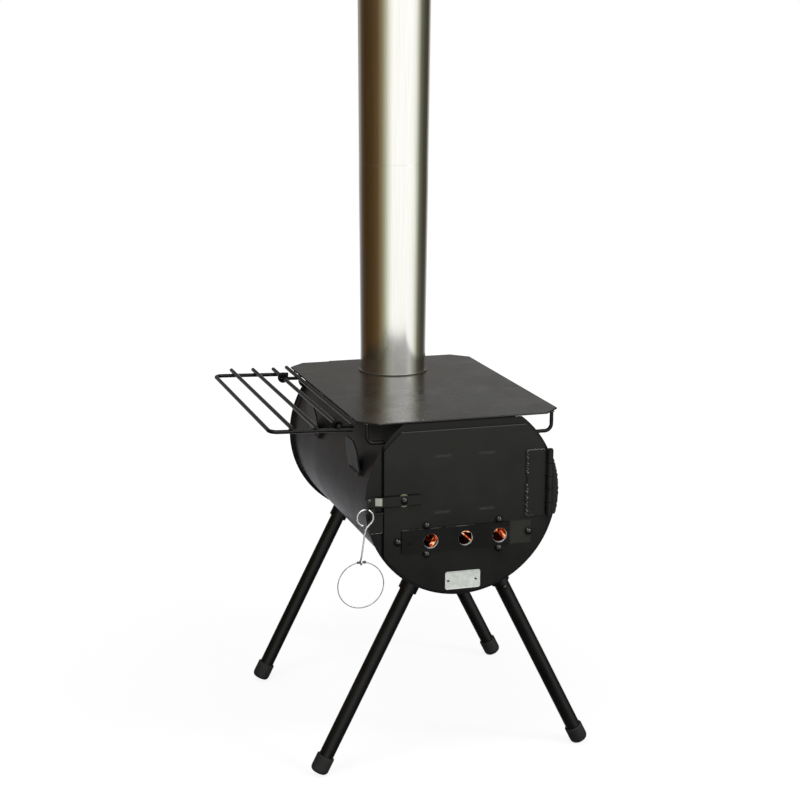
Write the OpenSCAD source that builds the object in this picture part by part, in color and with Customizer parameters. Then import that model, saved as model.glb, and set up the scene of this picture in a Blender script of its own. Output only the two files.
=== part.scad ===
// Tent wood stove: a rolled barrel firebox on four pull-out legs, with a flat cooktop,
// a hinged front door, a sliding draught plate, a two-piece flue pipe and a folding side rack.
// Millimetres. +Z is up and the door faces -Y. Drawn about the barrel's axis, then moved so
// that the middle of the footprint stands at the origin, on the ground.

/* [Barrel] */
// Outer diameter of the rolled barrel
barrel_d = 330; // [322:1:340]
// Length of the barrel between its end plates
barrel_len = 524; // [490:1:600]
// Thickness of the barrel sheet
barrel_sheet = 2; // [1.5:0.1:3]
// Height of the flattened top above the barrel's axis
flat_h = 136.8; // [134:0.1:142]
// Height of the barrel's axis above the ground
axis_h = 491; // [440:0.1:560]
// How far the end plates stand out past the barrel
end_rim = 6.5; // [5:0.5:9]
// Thickness of the end plates
end_sheet = 3; // [2:0.5:4]
// How far the end plates' flat top stays below the barrel's
end_drop = 1.5; // [1:0.1:1.8]

/* [Cooktop] */
// Width of the cooktop
cooktop_w = 360; // [350:1:380]
// Thickness of the cooktop
cooktop_sheet = 3; // [2:0.5:5]
// How far the cooktop stands out over the front plate
cooktop_lip = 3; // [1:0.5:6]
// How far the cooktop stops short of the rear end plate's outer face
cooktop_setback = 20; // [14:1:34]
// Size of the cooktop's cut corners
cooktop_cut = 30; // [15:1:40]
// Diameter of the rods that brace the cooktop's overhang
stay_d = 6.5; // [5:0.5:8]
// Distance of the braces from the middle plane
stay_x = 165; // [160:1:168]
// Bend radius of the braces, on their centre line
stay_bend = 12; // [9:1:14]
// Height of the braces' level run above the barrel's axis
stay_z = 103; // [98:1:108]
// Distance of the front braces from the front plate's face
stay_front_y = 15; // [10:1:18]
// Distance of the rear braces from the rear plate's outer face
stay_rear_y = 60; // [50:1:70]

/* [Flue] */
// Outer diameter of the lower pipe at its foot
flue_foot_d = 122.5; // [112:0.5:126]
// Outer diameter of both pipes where they join
flue_joint_d = 128.2; // [126.5:0.1:131]
// Outer diameter of the upper pipe at its top
flue_top_d = 133.8; // [132:0.1:138]
// Thickness of the pipe sheet
flue_sheet = 0.8; // [0.6:0.1:1.2]
// Length of the lower pipe
flue_lower_len = 387; // [300:1:450]
// Length of the upper pipe above the joint
flue_upper_len = 391; // [300:1:450]
// Distance of the pipe's axis from the rear end plate's outer face
flue_back = 124; // [115:1:150]
// Gap between nested pipe walls
flue_fit = 0.3; // [0.2:0.05:0.6]
// How far the upper pipe's neck goes into the lower pipe
flue_neck = 35; // [25:1:50]
// Length of the straight stretch at the top of the flue
flue_end = 40; // [30:1:60]
// Height of the collar's spigot inside the lower pipe
spigot_h = 42; // [30:1:60]
// Thickness of the collar's spigot
spigot_sheet = 2; // [1.5:0.1:3]
// Height of the bead that the lower pipe rests on
bead_h = 2; // [1:0.5:4]
// How far the bead stands out past the pipe
bead_out = 3.5; // [2:0.5:6]

/* [Legs] */
// Angle of the legs from the vertical
leg_angle = 26.8; // [20:0.1:32]
// Outer diameter of the leg tubes
leg_d = 26; // [22:0.5:28]
// Wall of the leg tubes
leg_wall = 1.6; // [1.2:0.1:2.5]
// Gap around a leg tube in its stub
leg_fit = 0.3; // [0.2:0.05:0.5]
// Wall of the stubs
stub_wall = 3.4; // [2.4:0.1:4]
// Length of the stubs below the barrel
stub_len = 24.5; // [18:0.5:30]
// Gap between the stubs' ends and the heads of the stop screws
screw_gap = 3.5; // [1:0.5:8]
// Diameter of the stop screws' heads
screw_d = 10; // [8:0.5:11]
// Distance of the front legs from the front plate's face
leg_front_y = 38; // [30:1:60]
// Distance of the rear legs from the rear plate's outer face
leg_rear_y = 37; // [30:1:60]
// Wall of the rubber foot caps
cap_wall = 3; // [2:0.2:4]
// Length of the foot caps
cap_len = 32; // [24:1:45]
// Thickness of the foot caps under the leg
cap_base = 5; // [4:0.5:8]
// Rounding of the foot caps' rim
cap_round = 2.5; // [1.5:0.5:4]
// Depth of the flat that the foot caps stand on
foot_flat = 1.5; // [1:0.1:2]

/* [Door] */
// Thickness of the door plate
door_sheet = 3; // [2:0.5:4]
// Gap between the closed door and the front plate
door_gap = 0.4; // [0.3:0.1:1]
// How far the door's curved edge stays inside the front plate's rim
door_inset = 5; // [3:0.5:8]
// Distance of the door's left edge from the middle plane
door_left = 139.8; // [130:0.1:144]
// Distance of the door's straight hinge edge from the middle plane
door_right = 151; // [140:0.5:152]
// Height of the door's top edge above the barrel's axis
door_top = 122; // [112:0.5:126]
// Size of the cut at the door's upper left corner
door_cut = 30; // [20:1:40]
// Distance of the firebox opening's left side from the middle plane
opening_left = 120; // [100:1:124]
// Distance of the firebox opening's right side from the middle plane
opening_right = 124; // [100:1:128]
// Depth of the firebox opening below the barrel's axis
opening_low = 105; // [100:1:115]
// Height of the firebox opening above the barrel's axis
opening_high = 104; // [90:1:108]
// Radius that rounds the firebox opening's corners
opening_r = 148; // [140:1:152]
// Width of the heat shield behind the door
shield_w = 160; // [130:1:170]
// Height of the heat shield
shield_h = 134; // [120:1:136]
// Thickness of the heat shield
shield_sheet = 1.5; // [1:0.1:2]
// Distance from the door's back to the heat shield
shield_gap = 12; // [8:0.5:16]

/* [Hinge] */
// Outer diameter of the hinge knuckles
knuckle_d = 11; // [9:0.1:12]
// Diameter of the hinge pin
hinge_pin_d = 5; // [4:0.1:5.5]
// Gap between the pin and the knuckles
hinge_fit = 0.08; // [0.03:0.01:0.1]
// Length of the hinge
hinge_len = 116; // [95:1:120]
// Height of the middle of the hinge above the barrel's axis
hinge_z = 17.5; // [10:0.5:20]
// Distance of the pin's axis from the middle plane
hinge_x = 154.6; // [153.5:0.1:156]
// Thickness of the hinge leaves
leaf_sheet = 2.5; // [2:0.1:3]
// Width of the door's hinge leaf, from the pin's axis
leaf_w = 39.5; // [30:0.5:50]
// Gap between neighbouring knuckles
knuckle_gap = 0.4; // [0.3:0.1:1]

/* [Draught slider] */
// Width of the slider
slider_w = 193.5; // [188:0.5:196]
// Height of the slider
slider_h = 41; // [36:0.5:46]
// Thickness of the slider
slider_sheet = 2.5; // [2:0.1:3]
// Height of the slider's centre, from the barrel's axis
slider_z = -68; // [-72:0.5:-64]
// Side offset of the slider's centre when the draught is open
slider_x = -12.5; // [-13:0.1:-12]
// Travel of the slider from open to closed
slider_travel = 29; // [27:0.5:30]
// Gap around the slider, to its guide rivets and under their heads
slider_fit = 0.3; // [0.2:0.05:0.5]
// Diameter of the draught holes
hole_d = 25.4; // [20:0.1:26]
// Distance between the draught holes
hole_pitch = 62; // [58:0.5:64]
// Side offset of the middle draught hole
hole_x = 4.3; // [0:0.1:6]
// How far the draught holes sit below the slider's centre
hole_drop = 2; // [0:0.5:4]
// Diameter of the hole that a poker moves the slider by
poke_d = 7; // [6:0.5:9]
// Diameter of the guide rivets' shoulders
shoulder_d = 9; // [8:0.5:10]
// Diameter of the rivet and bolt heads
head_d = 13; // [12.5:0.1:15]
// Height of the rivet and bolt heads
head_h = 4.2; // [3:0.1:5]
// Side distance of the guide rivets from the middle plane
guide_x = 65; // [60:1:70]
// Gap between the open slider and its left stop
stop_gap = 1.2; // [0.5:0.1:3]

/* [Latch] */
// Side distance of the latch's pivot from the middle plane
latch_x = 105.4; // [104:0.1:107]
// Height of the latch's pivot above the barrel's axis
latch_z = 4.6; // [0:0.1:10]
// Height of the latch bar
bar_h = 16.8; // [15:0.1:18]
// Thickness of the latch bar
bar_sheet = 3; // [2.5:0.1:3.2]
// Length of the latch bar from the pivot to the thumb end
bar_thumb = 31.6; // [28:0.1:40]
// Diameter of the pivot bolt
pivot_d = 6; // [5:0.1:7]
// Gap between the pivot bolt and the bar
pivot_fit = 0.08; // [0.03:0.01:0.1]
// Diameter of the spring washer behind the bar
washer_d = 22; // [19:0.5:24]
// Thickness of the spring washer
washer_sheet = 0.8; // [0.5:0.1:1]
// Distance from the pivot to the start of the bar's step
step_start = 39; // [38.5:0.1:40]
// Distance from the pivot to the end of the bar's step
step_end = 50; // [49:0.1:51]
// Distance from the pivot to the outside of the bar's turned tab
tab_reach = 67.6; // [67:0.1:70]
// Height of the turned tab
tab_h = 24; // [22:0.5:26]
// Depth of the turned tab, from the front plate's face
tab_depth = 15; // [14:0.1:17]
// Angle that the tail drops by into the keeper
latch_down = 8; // [6:0.5:9]
// Thickness of the keeper plate
keeper_sheet = 2.5; // [2:0.1:2.6]
// Height of the keeper
keeper_h = 45; // [40:1:50]

/* [Wire pull] */
// Diameter of the pull's wire
pull_d = 2.4; // [2:0.1:2.8]
// Radius of the upper eye, to the wire's centre
eye_r = 14; // [12:0.1:15]
// Length of the straight neck below the upper eye
neck_len = 8; // [5:0.5:12]
// Radius of the bend between the neck and the shank
turn_r = 16; // [12:0.5:20]
// Length of the straight shank
shank_len = 49; // [36:1:60]
// Lean of the shank to the left
shank_lean = 8; // [4:0.5:12]
// Radius of the small eye that holds the ring
small_eye_r = 3.7; // [3.5:0.1:4.5]
// Radius of the pull ring, to the wire's centre
ring_r = 40; // [30:0.5:45]
// Diameter of the pull ring's wire
ring_wire_d = 1.8; // [1.6:0.1:2.5]
// Diameter of the sleeve that closes the ring
sleeve_d = 4; // [3.4:0.1:4.2]

/* [Side fittings] */
// Width of the hanger tabs on the left side
hanger_w = 70; // [50:1:90]
// Thickness of the hanger tabs
hanger_sheet = 2.5; // [2:0.1:3.5]
// Height of the hanger tabs
hanger_h = 57; // [48:1:62]
// Height of the hanger tabs' foot above the barrel's axis
hanger_z = 36; // [30:1:42]
// Distance of the front hanger tab's middle from the front plate's face
hanger_front_y = 95; // [85:1:140]
// Distance of the rear hanger tab's middle from the rear plate's outer face
hanger_rear_y = 165; // [140:1:200]

/* [Side rack] */
// Diameter of the rack's rods
rack_d = 7; // [6:0.1:7.4]
// Distance from the hinge rod to the rack's outer rod
rack_w = 116; // [100:1:126]
// Distance from the hinge rod to the rod at the cooktop's edge
rack_link = 26; // [25:0.5:30]
// Height of the hinge rod below the cooktop's upper face
rack_drop = 6.8; // [6:0.1:9]
// Tilt of the open rack, outer side up
rack_tilt = 2; // [0:0.5:4]
// Distance of the rack's front arm from the front plate's face
rack_front_y = 28; // [24:1:40]
// Distance of the rack's rear arm from the rear plate's outer face
rack_rear_y = 48; // [40:1:70]
// How far the rods run on past the rear arm
rack_tail = 18; // [10:1:20]
// Bend radius of the rack's frame, on its centre line
rack_bend = 14; // [10:1:20]
// Gap between the hinge rod and its eyes
rack_fit = 0.08; // [0.03:0.01:0.1]
// Diameter of the rod that each link is bent from
link_d = 6.4; // [5.5:0.1:7]
// Distance of the rear link from the rear arm
link_rear_in = 62; // [30:1:80]
// Gap between the open rack's arms and the bars that stop them
rack_rest = 0.3; // [0.2:0.05:0.6]

/* [Name plate] */
// Width of the bare name plate
name_w = 65; // [50:1:75]
// Height of the bare name plate
name_h = 32; // [24:1:32]
// Thickness of the bare name plate
name_sheet = 0.8; // [0.5:0.1:1.5]
// Height of the name plate's centre, from the barrel's axis
name_z = -144.5; // [-145:0.5:-140]
// Distance between the name plate's rivets
name_pitch = 50; // [40:1:56]

/* [Grate] */
// Height of the grate's upper side, from the barrel's axis
grate_z = -104; // [-112:1:-102]
// Diameter of the grate's rods
grate_d = 8; // [6:0.5:9]
// Distance between the grate's rods
grate_pitch = 20; // [18:0.5:23]
// Number of the grate's rods
grate_rods_n = 9; // [7:2:9]
// Height of the grate's two bearers
bearer_h = 18; // [14:1:22]
// Gap between the grate and the barrel
grate_fit = 0.6; // [0.4:0.1:2]

/* [Hidden] */
$fn = 64;
// Overlap of pieces that are welded or bent from one plate
weld = 0.3;
// Overshoot of a cut past the face that it opens
past = 1;

barrel_r = barrel_d / 2;
inner_r = barrel_r - barrel_sheet;
end_r = barrel_r + end_rim;
body_len = barrel_len + 2 * end_sheet;
cooktop_z = flat_h + cooktop_sheet;
cooktop_rear = body_len - cooktop_setback;

flue_y = body_len - flue_back;
flue_foot_r = flue_foot_d / 2;
flue_joint_r = flue_joint_d / 2;
flue_top_r = flue_top_d / 2;
pipe_foot_z = cooktop_z + bead_h;
pipe_joint_z = pipe_foot_z + flue_lower_len;
spigot_r = flue_foot_r - flue_sheet - flue_fit;
spigot_bore_r = spigot_r - spigot_sheet;
neck_r = flue_joint_r - flue_sheet - flue_fit;
pipe_grip = 5;
pipe_lip = 0.4;
pipe_lip_h = 3;

leg_r = leg_d / 2;
stub_bore_r = leg_r + leg_fit;
stub_r = stub_bore_r + stub_wall;
stub_end = barrel_r + stub_len;
screw_at = stub_end + screw_gap + screw_d / 2;
screw_head_h = 2.6;
screw_seat = 0.6;
screw_shank_r = 2.4;
screw_fit = 0.05;
leg_top = barrel_r + leg_fit;
cap_r = leg_r + cap_wall;
cap_corner_r = cap_r - cap_round;
cap_end = (axis_h + foot_flat - cap_round - cap_corner_r * sin(leg_angle)) / cos(leg_angle) + cap_round;
leg_end = cap_end - cap_base;
leg_ys = [leg_front_y, body_len - leg_rear_y];

door_r = end_r - door_inset;
door_back = -door_gap;
door_face = door_back - door_sheet;
shield_y = door_back + shield_gap;
shield_x = 5;
shield_z = -40;
weld_spot_xs = [-37, 42];
weld_spot_zs = [-21, 77];
weld_spot_w = 31;
weld_spot_h = 12;

knuckle_r = knuckle_d / 2;
hinge_pin_r = hinge_pin_d / 2;
hinge_bore_r = hinge_pin_r + hinge_fit;
hinge_clear = 0.3;
hinge_y = door_face - hinge_clear - knuckle_r;
leaf_face = door_face - leaf_sheet;
knuckle_n = 5;
knuckle_h = hinge_len / knuckle_n;
hinge_low = hinge_z - hinge_len / 2;
leaf_relief = 0.4;
leaf_edge = 0.4;
pin_head_h = 2;

slider_back = door_face - slider_fit;
slider_face = slider_back - slider_sheet;
head_back = slider_face - slider_fit;
slider_left = slider_x - slider_w / 2;
slider_right = slider_x + slider_w / 2;
shoulder_r = shoulder_d / 2;
head_r = head_d / 2;
guide_dz = slider_h / 2 + slider_fit + shoulder_r;
stop_r = head_r - 1;
stop_left_x = slider_left - stop_gap - stop_r;
stop_right_x = slider_right + slider_travel + slider_fit + stop_r;
hole_z = slider_z - hole_drop;
rivet_shank_r = 3;
poke_in = 12;
poke_drop = 4;

bar_back = door_face - washer_sheet - 0.2;
bar_face = bar_back - bar_sheet;
tail_back = -0.6;
tail_face = tail_back - bar_sheet;
bar_low = latch_z - bar_h / 2;
pivot_r = pivot_d / 2;
pivot_head_gap = 0.2;
tab_x = -(latch_x + tab_reach);
tab_hole_r = 2.4;
tab_hole_y = -9.5;
tab_hole_z = -4.5;
keeper_gap = 0.7;
keeper_side = 1;
keeper_top = bar_low - keeper_gap;
keeper_left = tab_x + bar_sheet + 3 + keeper_side;
keeper_right = -door_left - 1.7;
ear_right = -(latch_x + step_end + keeper_side);
keeper_face = tail_face - 0.3 - keeper_sheet;
// Level that the dropped tail's lower edge reaches at its outer end
tail_drop_z = latch_z - tab_reach * sin(latch_down) - bar_h / 2 * cos(latch_down);
pocket_z = tail_drop_z - 0.6;
wall_top = pocket_z + 1;

pull_r = pull_d / 2;
eye_x = tab_x + bar_sheet / 2 - 3.1;
eye_z = tab_hole_z - eye_r;
eye_open_angle = 255;
// The neck leaves the eye and runs down to the left at this angle
eye_turn = 45;
neck_x = eye_r * cos(eye_turn);
neck_z = -eye_r * sin(eye_turn);
turn_x = (eye_r + turn_r - neck_len) * cos(eye_turn);
turn_z = -(eye_r + turn_r + neck_len) * sin(eye_turn);
shank_x = turn_x - turn_r * cos(shank_lean);
shank_z = turn_z + turn_r * sin(shank_lean);
// The wire's bends meet end to end on a thin core, a hairline apart
wire_split = 0.03;
wire_core_r = 0.6 * pull_r;
small_eye_wire_r = 0.9 * pull_r;
small_eye_x = eye_x + shank_x - (shank_len + small_eye_r) * sin(shank_lean);
small_eye_z = eye_z + shank_z - (shank_len + small_eye_r) * cos(shank_lean);
ring_z = small_eye_z - ring_r;
sleeve_len = 13.5;
sleeve_ball_r = 2.6;

hanger_ys = [hanger_front_y, body_len - hanger_rear_y];
hanger_out = 3.5;
hanger_flare = 8;
hanger_foot = 9;
hanger_corner = 14;

rack_r = rack_d / 2;
edge_rod_x = -(cooktop_w / 2 + rack_r + 0.4);
edge_rod_z = cooktop_z - 5;
hinge_rod_x = edge_rod_x - rack_link;
hinge_rod_z = cooktop_z - rack_drop;
rack_front = rack_front_y;
rack_rear = body_len - rack_rear_y;
rod_rear = rack_rear + rack_tail;
arm_reach = rack_link - 1;
link_r = link_d / 2;
link_eye_r = rack_r + rack_fit + link_r;
// Each link's eye passes beside the arm; its bar steps back over the arm and stops it
link_eye_in = rack_r + link_r + 0.5;
link_bar_in = 3.5;
link_bar_r = link_r - 0.1;
link_dz = sqrt(pow(rack_r + link_bar_r + rack_rest, 2) - pow(link_bar_in, 2)) - rack_d;
link_ys = [rack_front + link_eye_in, rack_rear - link_rear_in];

name_corner = 4;
name_rivet_r = 2.4;

grate_r = grate_d / 2;
bearer_top = grate_z - grate_d + weld;
grate_len = 450;
bearer_sheet = 5;
grate_front_y = 40;

// Middle of the footprint: the rack's outer rod to the right feet, the tab to the rear plate
right_reach = (cap_end - cap_round) * sin(leg_angle) + cap_corner_r * cos(leg_angle) + cap_round;
left_reach = -hinge_rod_x + rack_w * cos(rack_tilt) - rack_r * sin(rack_tilt) * 2 + rack_r;
mid_x = (right_reach - left_reach) / 2;
mid_y = (body_len - tab_depth) / 2;

// Moves what is drawn about the barrel's axis to its place on the ground
module placed() translate([-mid_x, -mid_y, axis_h]) children();

// Stands a flat outline (x, z) up as a plate whose front face lies at y
module upright(y, sheet) translate([0, y + sheet, 0]) rotate([90, 0, 0]) linear_extrude(sheet) children();

// Turns local +Z to run out along a leg; side is -1 for left and 1 for right
module along_leg(side, y) translate([0, y, 0]) rotate([0, 180 - side * leg_angle, 0]) children();

// A round rod along Y
module rod_y(x, z, y0, y1, r) translate([x, y1, z]) rotate([90, 0, 0]) cylinder(h = y1 - y0, r = r);

// A round rod along X
module rod_x(x0, x1, y, z, r) translate([x0, y, z]) rotate([0, 90, 0]) cylinder(h = x1 - x0, r = r);

// The space inside the barrel's outer surface
module barrel_space(r) rod_y(0, 0, -body_len, 2 * body_len, r);

// A disc with its top cut flat at a height
module flat_disc(r, top) intersection() {
    circle(r, $fn = 128);
    translate([-r, -r]) square([2 * r, r + top]);
}

// A domed head that faces -Y, with its seat at y
module dome_head(x, y, z, r, h) {
    ball_r = (r * r + h * h) / (2 * h);
    intersection() {
        translate([x, y - h + ball_r, z]) sphere(ball_r);
        translate([x, y, z]) rotate([90, 0, 0]) cylinder(h = h + past, r = r);
    }
}

// ---- Firebox ----

module barrel_shell() color("dimgray") placed() difference() {
    upright(end_sheet, barrel_len) difference() {
        flat_disc(barrel_r, flat_h);
        flat_disc(inner_r, flat_h - barrel_sheet);
    }
    translate([0, flue_y, flat_h - barrel_sheet - past])
        cylinder(h = barrel_sheet + 2 * past, r = spigot_r);
}

module opening_outline() intersection() {
    circle(opening_r, $fn = 128);
    translate([-opening_left, -opening_low])
        square([opening_left + opening_right, opening_low + opening_high]);
}

module front_plate() color("slategray") placed() upright(0, end_sheet) difference() {
    flat_disc(end_r, flat_h - end_drop);
    opening_outline();
}

module rear_plate() color("slategray") placed() upright(end_sheet + barrel_len, end_sheet)
    flat_disc(end_r, flat_h - end_drop);

module cooktop() color("silver") placed() difference() {
    half = cooktop_w / 2;
    cut = cooktop_cut;
    translate([0, 0, flat_h]) linear_extrude(cooktop_sheet) polygon([
        [-half + cut, -cooktop_lip], [half - cut, -cooktop_lip],
        [half, cut - cooktop_lip], [half, cooktop_rear - cut],
        [half - cut, cooktop_rear], [-half + cut, cooktop_rear],
        [-half, cooktop_rear - cut], [-half, cut - cooktop_lip]]);
    translate([0, flue_y, flat_h - past]) cylinder(h = cooktop_sheet + 2 * past, r = spigot_r);
}

// A short tube through the cooktop, with a bead that the pipe rests on
module flue_collar() color("darkgray") placed() translate([0, flue_y, 0]) difference() {
    union() {
        translate([0, 0, flat_h - barrel_sheet])
            cylinder(h = cooktop_sheet + barrel_sheet + bead_h + spigot_h, r = spigot_r);
        translate([0, 0, cooktop_z]) cylinder(h = bead_h, r = flue_foot_r + bead_out);
    }
    translate([0, 0, flat_h - barrel_sheet - past])
        cylinder(h = cooktop_sheet + barrel_sheet + bead_h + spigot_h + 2 * past, r = spigot_bore_r);
}

// A stub of wider tube coped to the barrel, which a leg slides up into
module leg_stub(side, y) color("gray") placed() difference() {
    along_leg(side, y) cylinder(h = stub_end, r = stub_r);
    along_leg(side, y) cylinder(h = stub_end + past, r = stub_bore_r);
    barrel_space(barrel_r);
}

// A rod bent square, from the cooktop's underside in to the barrel
module cooktop_stay(side, y) color("darkgray") placed() difference() {
    bend_x = side * (stay_x - stay_bend);
    bend_z = stay_z + stay_bend;
    union() {
        translate([side * stay_x, y, bend_z]) cylinder(h = flat_h - bend_z, r = stay_d / 2);
        translate([bend_x, y, bend_z]) rotate([90, 0, 0])
            rotate_extrude(angle = side * 90, start = 270)
                translate([stay_bend, 0]) circle(stay_d / 2);
        rod_x(min(0, bend_x), max(0, bend_x), y, stay_z, stay_d / 2);
    }
    barrel_space(barrel_r);
}

// A bent plate welded along its foot, open at the top to hang things from
module hanger_tab(y) color("dimgray") placed() translate([0, y, 0]) difference() {
    foot_x = sqrt(barrel_r * barrel_r - hanger_z * hanger_z) + hanger_out;
    knee_z = hanger_z + hanger_h * 0.42;
    top_z = hanger_z + hanger_h;
    translate([0, hanger_w / 2, 0]) rotate([90, 0, 0]) linear_extrude(hanger_w) scale([-1, 1])
        polygon([
            [foot_x - 3 * hanger_sheet, hanger_z], [foot_x, hanger_z],
            [foot_x + hanger_out, knee_z], [foot_x + hanger_flare, top_z],
            [foot_x + hanger_flare - hanger_sheet, top_z],
            [foot_x + hanger_out - hanger_sheet, knee_z],
            [foot_x - hanger_sheet, hanger_z + hanger_foot],
            [foot_x - 3 * hanger_sheet, hanger_z + hanger_foot]]);
    for (end = [-1, 1])
        translate([0, end * hanger_w / 2, top_z]) rotate([45, 0, 0])
            cube([4 * barrel_r, hanger_corner * sqrt(2), hanger_corner * sqrt(2)], center = true);
    translate([0, -y, 0]) barrel_space(barrel_r);
}

// Hook plate: foot on the front plate, floor, and a wall in front of the latch's dropped tail
module latch_keeper() color("gray") placed() {
    w = keeper_right - keeper_left;
    low = keeper_top - keeper_h;
    translate([keeper_left, -keeper_sheet, low]) cube([w, keeper_sheet, pocket_z - low]);
    translate([keeper_left, keeper_face, pocket_z - keeper_sheet])
        cube([w, -keeper_face, keeper_sheet]);
    translate([keeper_left, keeper_face, pocket_z - keeper_sheet])
        cube([w, keeper_sheet, wall_top - pocket_z + keeper_sheet]);
    translate([keeper_left, keeper_face, pocket_z - keeper_sheet])
        cube([ear_right - keeper_left, keeper_sheet, keeper_top - pocket_z + keeper_sheet]);
}

// ---- Hinge ----

// One stretch of the hinge's length, from the bottom; grow widens it at both ends
module knuckle_span(i, x0, x1, y0, y1, grow) translate([x0, y0, hinge_low + i * knuckle_h - grow])
    cube([x1 - x0, y1 - y0, knuckle_h + 2 * grow]);

module knuckle(i) translate([hinge_x, hinge_y, hinge_low + i * knuckle_h + knuckle_gap / 2])
    cylinder(h = knuckle_h - knuckle_gap, r = knuckle_r);

module hinge_bore() translate([hinge_x, hinge_y, hinge_low - past])
    cylinder(h = hinge_len + 2 * past, r = hinge_bore_r);

// Packing under the frame leaf, as thick as the closed door
module hinge_pad() color("gray") placed() upright(door_face, -door_face) intersection() {
    circle(end_r - 1, $fn = 128);
    translate([hinge_x + 0.5, hinge_low]) square([end_r, hinge_len]);
}

module hinge_frame_leaf() color("silver") placed() difference() {
    union() {
        upright(leaf_face, leaf_sheet) intersection() {
            circle(end_r + leaf_edge, $fn = 128);
            translate([hinge_x + knuckle_r + leaf_relief, hinge_low]) square([end_r, hinge_len]);
        }
        for (i = [0 : 2 : knuckle_n - 1]) {
            knuckle(i);
            upright(leaf_face, leaf_sheet) intersection() {
                circle(end_r + leaf_edge, $fn = 128);
                translate([hinge_x, hinge_low + i * knuckle_h + knuckle_gap / 2])
                    square([2 * knuckle_r, knuckle_h - knuckle_gap]);
            }
        }
    }
    hinge_bore();
}

module hinge_door_leaf() color("silver") placed() difference() {
    plain_end = hinge_x - knuckle_r - leaf_relief;
    union() {
        translate([hinge_x - leaf_w, leaf_face, hinge_low])
            cube([plain_end - hinge_x + leaf_w, leaf_sheet, hinge_len]);
        for (i = [1 : 2 : knuckle_n - 2]) {
            knuckle(i);
            translate([plain_end - past, leaf_face, hinge_low + i * knuckle_h + knuckle_gap / 2])
                cube([hinge_x - plain_end + past, leaf_sheet, knuckle_h - knuckle_gap]);
        }
    }
    hinge_bore();
}

// The pin, headed at both ends
module hinge_pin() color("lightgray") placed() translate([hinge_x, hinge_y, 0]) {
    translate([0, 0, hinge_low]) cylinder(h = hinge_len, r = hinge_pin_r);
    for (z = [hinge_low - pin_head_h, hinge_low + hinge_len])
        translate([0, 0, z]) cylinder(h = pin_head_h, r = knuckle_r - 1);
}

// ---- Door ----

module door_outline() difference() {
    intersection() {
        circle(door_r, $fn = 128);
        translate([-door_left, -door_r]) square([door_left + door_right, door_r + door_top]);
    }
    polygon([[-door_left - past, door_top - door_cut - past], [-door_left - past, door_top + past],
        [-door_left + door_cut + past, door_top + past]]);
}

module draught_holes(x) for (i = [-1, 0, 1]) translate([x + i * hole_pitch, hole_z]) circle(hole_d / 2);

module door_plate() color("darkslategray") placed() difference() {
    upright(door_face, door_sheet) difference() {
        door_outline();
        draught_holes(hole_x);
    }
    for (x = [-guide_x, guide_x], dz = [-guide_dz, guide_dz])
        rod_y(x, slider_z + dz, door_face - past, past, rivet_shank_r);
    for (x = [stop_left_x, stop_right_x])
        rod_y(x, slider_z, door_face - past, past, rivet_shank_r);
    rod_y(-latch_x, latch_z, door_face - past, past, pivot_r);
}

module heat_shield() color("dimgray") placed()
    translate([shield_x - shield_w / 2, shield_y, shield_z]) cube([shield_w, shield_sheet, shield_h]);

// Four Z-shaped brackets, spot-welded to the door and to the shield
module shield_brackets() color("gray") placed() for (x = weld_spot_xs, z = weld_spot_zs)
    translate([x - weld_spot_w / 2, 0, z - weld_spot_h / 2]) {
        translate([0, door_back, 0]) cube([weld_spot_w, shield_sheet, weld_spot_h]);
        translate([0, door_back, weld_spot_h - shield_sheet])
            cube([weld_spot_w, shield_gap, shield_sheet]);
        translate([0, shield_y - shield_sheet, weld_spot_h - shield_sheet])
            cube([weld_spot_w, shield_sheet, weld_spot_h]);
    }

// Shouldered rivets: the slider runs between the shoulders and under the heads
module draught_rivets() color("silver") placed()
    for (x = [-guide_x, guide_x], dz = [-guide_dz, guide_dz]) {
        rod_y(x, slider_z + dz, door_face, door_back, rivet_shank_r);
        rod_y(x, slider_z + dz, head_back, door_face, shoulder_r);
        dome_head(x, head_back, slider_z + dz, head_r, head_h);
    }

module stop_bolts() color("silver") placed() for (x = [stop_left_x, stop_right_x]) {
    rod_y(x, slider_z, door_face, door_back, rivet_shank_r);
    rod_y(x, slider_z, head_back, door_face, stop_r);
    dome_head(x, head_back, slider_z, head_r, head_h);
}

module rounded_plate(w, h, r) {
    square([w - 2 * r, h], center = true);
    square([w, h - 2 * r], center = true);
    for (x = [-1, 1], y = [-1, 1]) translate([x * (w / 2 - r), y * (h / 2 - r)]) circle(r, $fn = 32);
}

module name_plate() color("lightgray") placed() upright(door_face - name_sheet, name_sheet)
    translate([0, name_z]) difference() {
        rounded_plate(name_w, name_h, name_corner);
        for (x = [-1, 1]) translate([x * name_pitch / 2, 0]) circle(name_rivet_r / 2, $fn = 32);
    }

module name_plate_rivets() color("gray") placed() for (x = [-1, 1]) {
    rod_y(x * name_pitch / 2, name_z, door_face - name_sheet, door_face, name_rivet_r / 2, $fn = 32);
    dome_head(x * name_pitch / 2, door_face - name_sheet, name_z, name_rivet_r, name_rivet_r * 0.6);
}

// ---- Draught slider ----

module draught_slider() color("dimgray") placed() upright(slider_face, slider_sheet) difference() {
    translate([slider_left, slider_z - slider_h / 2]) square([slider_w, slider_h]);
    draught_holes(hole_x);
    translate([slider_left + poke_in, slider_z - poke_drop]) circle(poke_d / 2);
}

// ---- Latch ----

module latch_bolt() color("silver") placed() {
    rod_y(-latch_x, latch_z, bar_face - pivot_head_gap, door_back, pivot_r);
    dome_head(-latch_x, bar_face - pivot_head_gap, latch_z, head_r, head_h);
}

module latch_washer() color("khaki") placed() difference() {
    rod_y(-latch_x, latch_z, door_face - washer_sheet, door_face, washer_d / 2);
    rod_y(-latch_x, latch_z, door_face - washer_sheet - past, door_face + past, pivot_r);
}

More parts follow.
